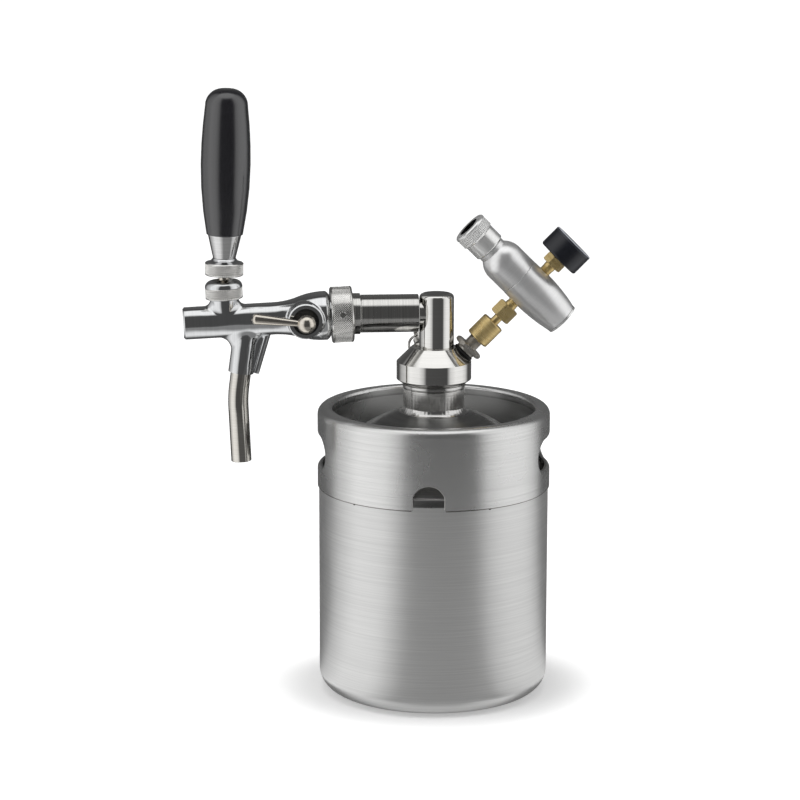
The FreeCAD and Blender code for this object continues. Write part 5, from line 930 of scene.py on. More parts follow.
def carve(piece: bpy.types.Object, cutters: Sequence[Surface]) -> None:
    """Cuts shapes out of a piece one by one, in millimetres so that the solver keeps small features."""
    piece.data.transform(Matrix.Scale(1 / MM, 4))
    for cutter in cutters:
        tool = link("cutter", cutter.mesh("cutter"))
        tool.data.transform(Matrix.Scale(1 / MM, 4))
        step = piece.modifiers.new("cut", "BOOLEAN")
        step.operation, step.object, step.solver = "DIFFERENCE", tool, "EXACT"
        graph = bpy.context.evaluated_depsgraph_get()
        piece.data = bpy.data.meshes.new_from_object(piece.evaluated_get(graph))
        piece.modifiers.clear()
        bpy.data.objects.remove(tool)
    piece.data.transform(Matrix.Scale(MM, 4))


def dress(finish: object, *nodes: str) -> None:
    """Gives solids that stay in view, or inside, their finish."""
    for name in nodes:
        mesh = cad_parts[name].data
        mesh.materials.clear()
        mesh.materials.append(finish.material())
        LOG.info("%s: solid kept, in %s", name, finish.name)


# ---------------------------------------------------------------- keg
@dataclass
class Keg:
    """Drawn wall, dome, screwed neck and rolled collar."""

    radius: float = 82.3
    sheet: float = 1.2
    base_edge: float = 14.5
    foot: float = 62.0
    recess: float = 56.0
    recess_depth: float = 4.0
    shoulder: float = 153.0
    knuckle: float = 10.0
    crown: float = 91.0
    crown_centre: float = 116.48
    neck: float = 21.85
    neck_bore: float = 17.8
    dome_top: float = 204.818
    lip_top: float = 224.618
    neck_top: float = 235.918
    thread: float = 20.4
    lap: float = 151.0
    collar: float = 83.25
    arch: float = 11.5
    arch_side: float = 9.0
    arch_top: float = 17.5
    arch_turn: float = -7.4
    tacks: tuple[float, ...] = (-47.5, -45.7, 23.6, 26.4)
    weld_rise: float = 5.5
    weld: float = 0.9
    bead: float = 0.45
    bead_bore: float = 0.02
    arch_gap: tuple[float, float, float] = (-90.0, 8.3, 1.3)

    def wall(self) -> None:
        """The straight wall, turned bottom edge, standing ring and pushed-in base."""
        inner = self.radius - self.sheet
        edge = self.base_edge - self.sheet
        corners = [
            Corner(0, self.recess_depth), Corner(self.recess, self.recess_depth, 2.5),
            Corner(self.foot, 0, 3.0), Corner(self.radius - self.base_edge, 0),
            Corner(self.radius, self.base_edge, arc=self.base_edge), Corner(self.radius, self.shoulder, step=12),
            Corner(inner, self.shoulder), Corner(inner, self.base_edge),
            Corner(inner - edge, self.sheet, arc=-edge), Corner(self.foot, self.sheet),
            Corner(self.recess, self.recess_depth + self.sheet), Corner(0, self.recess_depth + self.sheet),
        ]
        show("drawn_wall", lathe(corners, AT.keg, 256), KEG_STEEL, "keg", ["keg_body"])

    def meeting(self, radius: float) -> tuple[float, float]:
        """Where the knuckle of this radius meets the crown: on the line through both centres."""
        centre = self.radius - self.knuckle
        reach = self.crown - self.knuckle
        rise = math.sqrt(reach * reach - centre * centre)
        return centre + radius * centre / reach, self.shoulder + radius * rise / reach

    def dome(self) -> None:
        """Knuckle and crown, with the hole of the neck."""
        hole = self.neck + FIXED_GAP
        inner_crown, inner_knuckle = self.crown - self.sheet, self.knuckle - self.sheet
        outer, inner = self.meeting(self.knuckle), self.meeting(inner_knuckle)
        top = self.crown_centre + math.sqrt(self.crown ** 2 - hole ** 2)
        under = self.crown_centre + math.sqrt(inner_crown ** 2 - hole ** 2)
        corners = [
            Corner(self.radius, self.shoulder), Corner(*outer, arc=self.knuckle),
            Corner(hole, top, arc=self.crown), Corner(hole, under),
            Corner(*inner, arc=-inner_crown), Corner(self.radius - self.sheet, self.shoulder, arc=-inner_knuckle),
        ]
        show("spun_dome", lathe(corners, AT.keg, 256, closed=True), DOME_STEEL, "keg", ["keg_dome"])

    def screw_neck(self) -> None:
        """Neck with its weld bead, groove, rounded lip and male thread."""
        weld, rise = 24.8, 3.6
        bead_foot = self.crown_centre + math.sqrt(self.crown ** 2 - weld ** 2) + FIXED_GAP
        root = self.dome_top + FIXED_GAP
        lip, groove = self.neck + 0.55, self.neck - 0.7
        lip_foot = self.lip_top - 2.2
        corners = [
            Corner(self.neck_bore, self.dome_top - 5), Corner(self.neck, self.dome_top - 5), Corner(self.neck, root),
            Corner(weld, bead_foot), Corner(self.neck, root + rise, arc=-(weld - self.neck + rise)),
            Corner(self.neck, lip_foot - 1.2, 0.3), Corner(groove, lip_foot - 0.6, 0.2),
            Corner(lip, lip_foot, 0.5), Corner(lip, self.lip_top, 0.6), Corner(self.thread, self.lip_top, 0.1),
            Corner(self.thread, self.neck_top, 0.6, step=0.45), Corner(self.neck_bore, self.neck_top, 0.4),
        ]
        reliefs = [Ripple(bead_foot - 0.4, root + rise + 0.2, 46, 0.3),
                   Thread(self.lip_top + 0.6, self.neck_top - 0.6, self.thread, 2.5, 0.9)]
        show("screw_neck", lathe(corners, AT.keg, 192, closed=True, reliefs=reliefs), NECK_STEEL, "keg",
             ["keg_neck"])

    def dome_weld(self) -> None:
        """Raised weld round the joint of wall and dome, which shows in the drain arch."""
        middle, size = self.shoulder + self.weld_rise, self.weld
        radius = self.radius - self.knuckle + math.sqrt(self.knuckle ** 2 - self.weld_rise ** 2)
        quarters = ((size, 0), (0, size), (-size, 0), (0, -size), (size, 0))
        corners = [Corner(radius + out, middle + up, arc=size) for out, up in quarters]
        show("dome_weld", lathe(corners, AT.keg, 256, reliefs=[Ripple(middle - 1, middle + 1, 150, 0.12)]),
             NECK_STEEL, "keg", [])

    def arch_edge(self) -> None:
        """The deburred edge of the drain arch, as a fine bead along both sides and a crown that is a circle's arc."""
        rise = self.arch_top - self.arch_side
        radius = (self.arch ** 2 + rise ** 2) / (2 * rise)
        reach = math.asin(self.arch / radius)
        sweep = np.linspace(-reach, reach, 25)
        across = np.concatenate([[-self.arch] * 5, radius * np.sin(sweep), [self.arch] * 5])
        crown = self.arch_top - radius + radius * np.cos(sweep)
        side = np.linspace(0, self.arch_side, 6)[:5]
        level = self.lap + np.concatenate([side, crown, side[::-1]])
        around = np.arcsin(across / self.collar) + math.radians(self.arch_turn)
        out = self.collar - self.bead - self.bead_bore
        path = np.stack([out * np.sin(around), -out * np.cos(around), level], 1) * MM
        ring = [Corner(self.bead_bore, 0), Corner(self.bead, 0.01), Corner(self.bead, 0.99, step=0.012),
                Corner(self.bead_bore, 1)]
        show("arch_edge", tube(path, ring, 12), NECK_STEEL, "keg", [])

    def lap_joint(self) -> None:
        """The collar's deburred lower edge, and below it a dark ring of painted shade for the crevice, both broken by
        the arch.
        """
        gap = Gap(*self.arch_gap)
        # The second ring is dark: painted shade in the crevice under the collar's edge.
        lines = {"collar_lip": (82.85, 83.24, 150.72, 151.05, NECK_STEEL),
                 "lap_painted_shade": (82.1, 82.72, 150.1, 150.75, WELD_AND_CREVICE_SHADE)}
        for name, (inner, outer, low, high, finish) in lines.items():
            corners = [Corner(inner, low), Corner(outer, low), Corner(outer, high), Corner(inner, high)]
            show(name, lathe(corners, AT.keg, 720, closed=True, reliefs=[gap]), finish, "keg", [])

    def tack_welds(self) -> None:
        """Small spots of weld on the seam below the collar, two on each side of the arch."""
        for index, degrees in enumerate(self.tacks):
            c, s = turned(degrees)
            odd = index % 2
            level, size = self.lap - 0.5 + 0.3 * odd, 1.3 - 0.4 * odd
            at = place((self.radius * s, -self.radius * c, level), (s, -c, 0), (c, s, 0))
            spot = [Corner(0, -0.3), Corner(size, -0.3), Corner(0.7, 0.55, arc=1.2), Corner(0, 0.75)]
            show(f"tack_weld_{index}", lathe(spot, at, 24), WELD_AND_CREVICE_SHADE, "keg", [])

    def build(self) -> None:
        """Builds the keg's pieces; the collar's solid has its shape."""
        self.wall()
        self.dome()
        self.screw_neck()
        self.dome_weld()
        self.arch_edge()
        self.lap_joint()
        self.tack_welds()
        dress(COLLAR_STEEL, "handle_collar")


# ---------------------------------------------------------------- head, post and arm
@dataclass
class Head:
    """Screwed head with its polished band and cone, the outlet post and the sideways arm."""

    bottom: float = 225.018
    ceiling: float = 237.218
    thread: float = 20.7
    foot: float = 22.6
    radius: float = 26.7
    cone_foot: float = 240.518
    cone_top: float = 251.018
    top: float = 16.2
    post: float = 12.35
    post_height: float = 38.5
    post_edge: float = 3.0
    arm: float = 13.5
    spigot: float = 9.1
    bore: float = 5.0
    reach: float = 57.2
    ring: float = 14.6
    shank: float = 14.8
    ports: tuple[tuple[int, float], ...] = ((0, 5.45), (110, 4.85))
    spot_face: float = 7.9
    spot_seat: float = -0.8
    spot_end: float = 8.7
    port_foot: float = -6.9

    def block(self) -> None:
        """Band and cone with a spot-faced port for the gas inlet and one for the relief valve."""
        corners = [
            Corner(0, self.ceiling), Corner(self.thread, self.ceiling), Corner(self.thread, self.bottom, 0.3),
            Corner(self.foot, self.bottom, 0.25), Corner(self.radius, self.bottom + 3, 0.4),
            Corner(self.radius, self.cone_foot, 0.35), Corner(self.top, self.cone_top, 0.3),
            Corner(0, self.cone_top),
        ]
        cutters = []
        for azimuth, thread in self.ports:
            port = AT.port(azimuth)
            cutters += [rod(self.spot_face, self.spot_seat, self.spot_end, port),
                        rod(thread, self.port_foot, 1.0, port, 48)]
        show("head_block", lathe(corners, ORIGIN, 192), HEAD_STEEL, "head", ["head_body"],
             cutters=cutters)

    def outlet_post(self) -> None:
        """Post with a rounded, faced top and a socket for the arm."""
        top = self.cone_top + self.post_height
        corners = [
            Corner(0, self.cone_top), Corner(self.post, self.cone_top, 0.25),
            Corner(self.post, top - self.post_edge), Corner(self.post - self.post_edge, top, arc=self.post_edge),
            Corner(0, top, second=True),
        ]
        socket = rod(self.spigot + FIXED_GAP, -AT.post_offset, 30, AT.arm, 96)
        show("outlet_post_shell", lathe(corners, AT.post, 192), HEAD_STEEL, "head", ["outlet_post"],
             second=FACED_STEEL, cutters=[socket])

    def side_arm(self) -> None:
        """Spigot, arm, groove, end ring and screwed end."""
        shoulder = self.post - AT.post_offset + 0.75
        start = self.bore + FIXED_GAP - AT.post_offset
        ring = self.reach - 4.3
        corners = [
            Corner(self.bore, start), Corner(self.spigot, start, 0.2), Corner(self.spigot, shoulder),
            Corner(self.arm, shoulder, 0.55), Corner(self.arm, ring - 0.6, 0.3),
            Corner(self.arm - 0.6, ring - 0.6, 0.1), Corner(self.arm - 0.6, ring), Corner(self.ring, ring, 0.35),
            Corner(self.ring, self.reach, 0.3), Corner(self.ring - 0.3, self.reach),
            Corner(self.ring - 0.3, self.reach + 0.3),
            Corner(self.shank, self.reach + 0.3), Corner(self.shank, self.reach + 6, 0.3, step=0.4),
            Corner(self.bore, self.reach + 6),
        ]
        thread = Thread(self.reach + 0.8, self.reach + 6, self.shank, 1.8, 0.7)
        show("side_arm", lathe(corners, AT.arm, 192, closed=True, reliefs=[thread]), ARM_STEEL, "head",
             ["outlet_arm"])

    def build(self) -> None:
        """Builds the three pieces."""
        self.block()
        self.outlet_post()
        self.side_arm()


# ---------------------------------------------------------------- gas inlet
@dataclass
class GasInlet:
    """Threaded nipple with washer and lock nut, brass swivel nut and tail, and the relief valve behind."""

    seat: float = -0.8
    nipple: float = 5.4
    reach: float = 21.0
    washer: float = 7.15
    lock_flat: float = 9.8
    lock_height: float = 3.8
    swivel: float = 8.6
    swivel_start: float = 13.6
    swivel_length: float = 17.4
    tail_neck: float = 3.25
    tail_neck_end: float = 36.0
    tail_flat: float = 7.0
    tail_hex: float = 11.0
    stub: float = 4.3

    def threaded_nipple(self) -> None:
        """Nipple with a fine helical thread from the washer to its end."""
        foot, way, valve = self.seat - 6, 1.6, 8.0
        corners = [
            Corner(3.3, foot), Corner(self.nipple, foot), Corner(self.nipple, self.reach - 0.8, step=0.17),
            Corner(self.nipple - 0.8, self.reach, 0.2), Corner(way, self.reach), Corner(way, valve),
            Corner(3.3, valve),
        ]
        thread = Thread(foot, self.reach, self.nipple, 1.0, 0.5)
        show("threaded_nipple", lathe(corners, AT.gas, 96, closed=True, reliefs=[thread]), HARDWARE, "head",
             ["gas_nipple"])

    def washer_and_nut(self) -> None:
        """Flat washer and chamfered hexagon lock nut."""
        low = self.seat + 2.4
        bore = self.nipple + FIXED_GAP
        flat = low + 1.8
        washer = [Corner(bore, low), Corner(self.washer, low, 0.4), Corner(self.washer, flat, 0.4),
                  Corner(bore, flat)]
        show("port_washer", lathe(washer, AT.gas, 96, closed=True), HARDWARE, "head",
             ["gas_washer"])
        show("hex_lock_nut", hex_ring(bore, self.lock_flat, flat, flat + self.lock_height, AT.gas), HARDWARE,
             "head", ["gas_lock_nut"], crease=20)

    def swivel_nut(self) -> None:
        """Brass swivel nut: fine lengthwise flutes and well rounded ends."""
        end = self.swivel_start + self.swivel_length
        corners = [
            Corner(self.nipple + 0.3, self.swivel_start, 0.4), Corner(self.swivel - 1.2, self.swivel_start),
            Corner(self.swivel, self.swivel_start + 1.2, arc=1.2), Corner(self.swivel, end - 1.2, step=0.7),
            Corner(self.swivel - 1.2, end, arc=1.2), Corner(self.tail_neck + 0.3, end, 0.3),
            Corner(self.tail_neck + 0.3, end - 6.4), Corner(self.nipple + 0.3, end - 6.4),
        ]
        flutes = Knurl(self.swivel_start + 1.6, end - 1.6, self.swivel, 1.05, 0.16, Cut.STRAIGHT, 0.8)
        show("brass_swivel_nut", lathe(corners, AT.gas, 208, closed=True, reliefs=[flutes]), BRASS, "swivel_nut",
             ["swivel_nut"])

    def tail(self) -> None:
        """Flange, neck, milled hexagon and stub of the brass tail."""
        start, hex_end, stub_end = 21.85, self.tail_neck_end + self.tail_hex, 58.4
        shell = [
            Corner(1.6, start), Corner(5.2, start, 0.2), Corner(5.2, start + 2.2, 0.2),
            Corner(self.tail_neck, start + 2.2), Corner(self.tail_neck, self.tail_neck_end, 0.2),
            Corner(self.stub, self.tail_neck_end), Corner(self.stub, stub_end, 0.3, step=0.25), Corner(1.6, stub_end),
        ]
        thread = Thread(hex_end + 1.5, stub_end, self.stub, 1.0, 0.4)
        core = lathe(shell, AT.gas, 96, closed=True, reliefs=[thread])
        block = hex_ring(self.stub - 0.4, self.tail_flat, self.tail_neck_end, hex_end, AT.gas)
        show("brass_tail", core.joined(block), BRASS, "head", ["gas_tail"], crease=20)

    def relief_valve(self) -> None:
        """Plated brass body of the relief valve with its hexagon, barrel and rolled top."""
        at = AT.port(110)
        low, top = self.seat, 8.0
        shell = [
            Corner(1.6, low - 6), Corner(4.8, low - 6), Corner(4.8, low), Corner(4.0, low),
            Corner(4.0, top, 0.5, step=0.4), Corner(1.6, top, 0.2), Corner(1.6, top - 1.2), Corner(3.0, top - 1.2),
            Corner(3.0, low - 4.8), Corner(1.6, low - 4.8),
        ]
        core = lathe(shell, at, 96, closed=True, reliefs=[Thread(low - 6, low, 4.8, 1.0, 0.3)])
        block = hex_ring(3.7, 5.5, low, low + 4, at)
        show("relief_valve_shell", core.joined(block), VALVE_NICKEL, "head", ["relief_valve_body"],
             crease=20)

    def build(self) -> None:
        """Builds the inlet's pieces and dresses those that keep their solids."""
        self.threaded_nipple()
        self.washer_and_nut()
        self.swivel_nut()
        self.tail()
        self.relief_valve()
        dress(RUBBER, "gas_o_ring", "relief_valve_seal")
        dress(VALVE_NICKEL, "relief_pull_ring", "relief_valve_stem")
        dress(BRASS, "check_valve_plunger")
        spring("wound_check_valve_spring", (2.65, 0.3, -6.9, 2.9, 5), AT.gas)
        spring("wound_relief_valve_spring", (2.35, 0.35, -2.95, 6.7, 4), AT.port(110))
        dress(NYLON, "swivel_washer")


def hex_ring(bore: float, flat: float, low: float, high: float, at: np.ndarray) -> Surface:
    """A hexagon with a hole and 30 degree chamfers on its corners: the lower of the turned and the milled radius."""
    corner = flat / math.cos(math.pi / 6)
    drop = (corner - flat) * math.tan(math.radians(30)) * 1.1
    face, edge, step = flat * 0.985, corner + 0.02, 0.25
    outline = [Corner(bore, low), Corner(face, low), Corner(edge, low + drop, step=step),
               Corner(edge, high - drop, step=step), Corner(face, high, step=step), Corner(bore, high)]
    return lathe(outline, at, 144, closed=True, reliefs=[Hexagon(low, high, flat)])


# ---------------------------------------------------------------- regulator
@dataclass
class Regulator:
    """Cartridge collar, dome and body of bead-blasted aluminium."""

    knurl: float = 12.85
    knurl_length: float = 10.0
    sleeve: float = 11.8
    sleeve_end: float = 21.3
    bore: float = 7.9
    thread_end: float = 12.5
    depth: float = 14.2
    spigot: float = 9.3
    dome_step: float = 22.0
    dome_neck: float = 10.6
    dome: float = 15.2
    dome_centre: float = 36.0
    seam: float = 50.3
    waist: float = 15.7
    waist_at: float = 64.0
    end: float = 12.5
    end_at: float = 93.8

    def cartridge_collar(self) -> None:
        """Collar with a plain rim, a square-cut knurl, a sleeve and the screwed cartridge mouth."""
        corners = [
            Corner(self.bore, 0, step=0.22, second=True), Corner(self.knurl - 0.9, 0, 0.3),
            Corner(self.knurl, 0.9, 0.35),
            Corner(self.knurl, 1.9), Corner(self.knurl, self.knurl_length - 1.0, step=0.2),
            Corner(self.sleeve, self.knurl_length, 0.2), Corner(self.sleeve, self.sleeve_end - 0.6),
            Corner(self.sleeve - 0.25, self.sleeve_end, 0.15), Corner(self.spigot + FIXED_GAP, self.sleeve_end),
            Corner(self.spigot + FIXED_GAP, self.depth), Corner(self.bore + 0.4, self.depth),
            Corner(self.bore + 0.4, self.thread_end, second=True), Corner(self.bore, self.thread_end, second=True),
        ]
        knurl = Knurl(1.9, self.knurl_length - 1.0, self.knurl, 1.42, 0.5, Cut.GRID)
        mouth = Thread(0.8, self.thread_end, self.bore, 1.3, -0.5)
        show("knurled_cartridge_collar",
             lathe(corners, AT.regulator, 342, closed=True, reliefs=[knurl, mouth]), TURNED_ALUMINIUM, "head",
             ["cartridge_collar"], second=BORE_ALUMINIUM, crease=16)

    def dome_half(self) -> None:
        """Spigot, neck and round shoulder down to the seam."""
        shoulder = self.dome_centre - math.sqrt(self.dome ** 2 - self.dome_neck ** 2)
        joint, top = 12.9, self.seam - 12
        corners = [
            Corner(3.05, 16), Corner(self.spigot, 16, 0.2), Corner(self.spigot, self.dome_step),
            Corner(self.dome_neck, self.dome_step, 0.3), Corner(self.dome_neck, shoulder),
            Corner(self.dome, self.dome_centre, arc=self.dome), Corner(self.dome, self.seam, 0.3),
            Corner(joint, self.seam), Corner(joint, top), Corner(3.05, top),
        ]
        show("regulator_dome_shell", lathe(corners, AT.regulator, 160, closed=True), ALUMINIUM, "head",
             ["regulator_dome"])

    def body_half(self) -> None:
        """Slowly swelling body with an arc down to its narrower end, and two side ports."""
        taper = ((self.end_at - self.waist_at) ** 2 + (self.waist - self.end) ** 2) / (2 * (self.waist - self.end))
        corners = [
            Corner(3.4, 38.4), Corner(12.85, 38.4), Corner(12.85, self.seam + 0.25),
            Corner(self.dome, self.seam + 0.25, 0.3), Corner(self.waist, self.waist_at),
            Corner(self.end, self.end_at, arc=taper), Corner(10.5, self.end_at, 0.2), Corner(10.5, 68),
            Corner(4.0, 68), Corner(4.0, 57), Corner(1.5, 57), Corner(1.5, 52), Corner(3.4, 52),
        ]
        centre = AT.regulator @ np.array([0, 0, AT.mouth_reach, 1])
        ports = [rod(4.35, 8, 22, place(centre[:3], side * AT.gas[:3, 2], AT.gas[:3, 0]), 64) for side in (-1, 1)]
        show("regulator_body_shell", lathe(corners, AT.regulator, 160, closed=True), ALUMINIUM, "head",
             ["regulator_body"], cutters=ports)

    def build(self) -> None:
        """Builds the three aluminium pieces and dresses the inner ones."""
        self.cartridge_collar()
        self.dome_half()
        self.body_half()
        dress(TURNED_ALUMINIUM, "pressure_screw")
        dress(RUBBER, "cartridge_gasket", "piston_o_ring")
        dress(HARDWARE, "piercing_pin")
        dress(BRASS, "inlet_valve", "pressure_piston")
        spring("wound_inlet_valve_spring", (2.5, 0.3, 38.6, 45.8, 4), AT.regulator)
        spring("wound_pressure_spring", (7.2, 0.9, 73.6, 86.7, 4), AT.regulator)


# ---------------------------------------------------------------- pressure gauge
@dataclass
class Gauge:
    """Small back-entry gauge: brass stem, black case, clear window ring, printed dial."""

    start: float = 94.9
    radius: float = 16.0
    depth: float = 14.6
    wall: float = 1.4
    floor: float = 2.4
    bezel: float = 2.2
    bezel_bore: float = 13.3
    dial_level: float = 10.0
    numbers: tuple[int, ...] = (0, 15, 30, 45, 60)
    sweep: float = 270.0
    figure: float = 2.6
    figure_ring: float = 7.2
    long_tick: float = 9.0
    short_tick: float = 10.2
    tick_end: float = 11.6
    tick_half: float = 0.14
    arc_line: tuple[float, float] = (11.5, 11.72)
    print_depth: float = 0.04

    def stem(self) -> None:
        """Stub, hexagon and spigot of the brass stem."""
        low, hex_start, end = 74.6, self.start - 6.9, self.start + 3.2
        shell = [Corner(1.6, low), Corner(4.3, low, 0.2), Corner(4.3, self.start, step=0.25), Corner(4.0, self.start),
                 Corner(4.0, end, 0.2), Corner(1.6, end)]
        thread = Thread(low, hex_start - 2.0, 4.3, 1.0, 0.4)
        core = lathe(shell, AT.gas, 96, closed=True, reliefs=[thread])
        block = hex_ring(3.9, 6.75, hex_start, self.start, AT.gas)
        show("gauge_stem_shell", core.joined(block), BRASS, "head", ["gauge_stem"], crease=20)

    def case(self) -> None:
        """Pressed case with a well rounded back edge."""
        back, front = self.start, self.start + self.depth
        inner = self.radius - self.wall
        corners = [Corner(4.05, back), Corner(self.radius, back, 1.6), Corner(self.radius, front, 0.25),
                   Corner(inner, front), Corner(inner, back + self.floor, 0.8), Corner(4.05, back + self.floor)]
        show("gauge_case_shell", lathe(corners, AT.gas, 160, closed=True), GAUGE_BLACK, "head",
             ["gauge_case"])

    def window_ring(self) -> None:
        """Snap-on clear plastic ring round the window."""
        front = self.start + self.depth
        corners = [Corner(self.bezel_bore, front), Corner(self.radius, front, 0.2),
                   Corner(self.radius, front + 1.467, 0.3),
                   Corner(self.radius - 0.733, front + self.bezel, 0.3, second=True),
                   Corner(self.bezel_bore, front + self.bezel, 0.4)]
        # The bevelled run is in the pale finish, a painted highlight.
        show("window_ring", lathe(corners, AT.gas, 160, closed=True), WINDOW_RING, "head",
             ["gauge_bezel"], second=RING_HIGHLIGHT)

    def dial(self) -> None:
        """Dial plate with ticks and plain numbers, printed 0.05 mm proud."""
        level = self.start + self.dial_level
        rim = self.radius - self.wall - FIXED_GAP
        plate = lathe([Corner(1.0, level), Corner(rim, level), Corner(rim, level + 0.55, 0.15),
                       Corner(1.0, level + 0.55)], AT.gas, 96, closed=True)
        show("dial_plate", plate, DIAL_WHITE, "head", ["gauge_dial"])
        top = level + 0.56
        marks = self.scale_arc(top)
        for share in range(13):
            inner = self.short_tick if share % 3 else self.long_tick
            marks = marks.joined(self.tick(share / 12 * self.sweep, top, inner))
        show("dial_ticks", marks, DIAL_INK, "head", ["gauge_dial"])
        self.figures(top)

    def direction(self, degrees: float) -> tuple[np.ndarray, np.ndarray]:
        """Outward and sideways directions on the dial at an angle from zero, clockwise seen from the front."""
        c, s = turned(-45.0 - degrees)
        x, y = AT.gas[:3, 0], AT.gas[:3, 1]
        return c * x + s * y, -s * x + c * y

    def printed(self, level: float) -> tuple[np.ndarray, np.ndarray]:
        """The point of the axis at this level, and the thickness of the print."""
        axis = AT.gas[:3, 2]
        return AT.gas[:3, 3] + axis * level, axis * self.print_depth

    def tick(self, degrees: float, level: float, inner: float) -> Surface:
        """One short bar of the scale."""
        out, side = self.direction(degrees)
        return self.bar(out * inner, out * self.tick_end, side * self.tick_half, level)

    def bar(self, start: np.ndarray, end: np.ndarray, half: np.ndarray, level: float) -> Surface:
        """A thin printed bar between two points of the dial."""
        base, up = self.printed(level)
        ring = np.array([start - half, end - half, end + half, start + half])
        points = np.vstack([base + ring, base + ring + up]) * MM
        faces = [[0, 3, 2, 1], [4, 5, 6, 7], [0, 1, 5, 4], [1, 2, 6, 5], [2, 3, 7, 6], [3, 0, 4, 7]]
        if np.dot(np.cross(points[1] - points[0], points[2] - points[1]), up) < 0:
            faces = [face[::-1] for face in faces]
        return Surface(points, faces, np.zeros((24, 2)), np.zeros(6, bool))

    def scale_arc(self, level: float) -> Surface:
        """The printed line that joins the ticks: two arcs with a thin wall between them."""
        count = 73
        out = np.array([self.direction(d)[0] for d in np.linspace(0, self.sweep, count)])
        base, up = self.printed(level)
        near, far = (base + out * reach for reach in self.arc_line)
        points = np.vstack([near, far, far + up, near + up]) * MM
        rows = np.arange(4)[:, None] * count + np.arange(count)
        nearby = np.roll(rows, -1, 0)
        quads = np.stack([rows[:, :-1], rows[:, 1:], nearby[:, 1:], nearby[:, :-1]], 2).reshape(-1, 4).tolist()
        ends = [[0, count, 2 * count, 3 * count], [count - 1, 4 * count - 1, 3 * count - 1, 2 * count - 1]]
        faces = [face[::-1] for face in quads + ends]
        return Surface(points, faces, np.zeros((4 * len(faces), 2)), np.zeros(len(faces), bool))

    def figures(self, level: float) -> None:
        """Plain numbers of the scale, made meshes before they take their place."""
        x, y, z = AT.gas[:3, 0], AT.gas[:3, 1], AT.gas[:3, 2]
        for number, degrees in zip(self.numbers, np.linspace(0, self.sweep, len(self.numbers))):
            text = bpy.data.curves.new(f"figure_{number}", "FONT")
            text.body, text.size, text.align_x, text.align_y = str(number), self.figure, "CENTER", "CENTER"
            text.extrude = self.print_depth / 2
            holder = link(f"figure_{number}", text)
            graph = bpy.context.evaluated_depsgraph_get()
            mesh = bpy.data.meshes.new_from_object(holder.evaluated_get(graph))
            bpy.data.objects.remove(holder)
            flat = np.empty(len(mesh.vertices) * 3)
            mesh.vertices.foreach_get("co", flat)
            flat = flat.reshape(-1, 3)
            middle = AT.gas[:3, 3] + z * level + self.direction(degrees)[0] * self.figure_ring
            spots = middle + flat[:, :1] * y[None] - flat[:, 1:2] * x[None] + flat[:, 2:] * z[None]
            mesh.vertices.foreach_set("co", (spots * MM).ravel())
            close_up(mesh)
            piece = link(f"dial_figure_{number}", mesh)
            mesh.materials.clear()
            mesh.materials.append(DIAL_INK.material())
            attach(piece, "head")
            LOG.info("dial_figure_%d: %d faces", number, len(mesh.polygons))

    def build(self) -> None:
        """Builds the gauge's pieces and dresses the inner ones."""
        self.stem()
        self.case()
        self.window_ring()
        self.dial()
        dress(CLEAR, "gauge_lens")
        dress(POINTER, "gauge_needle")
        dress(BRASS, "gauge_movement", "bourdon_tube")


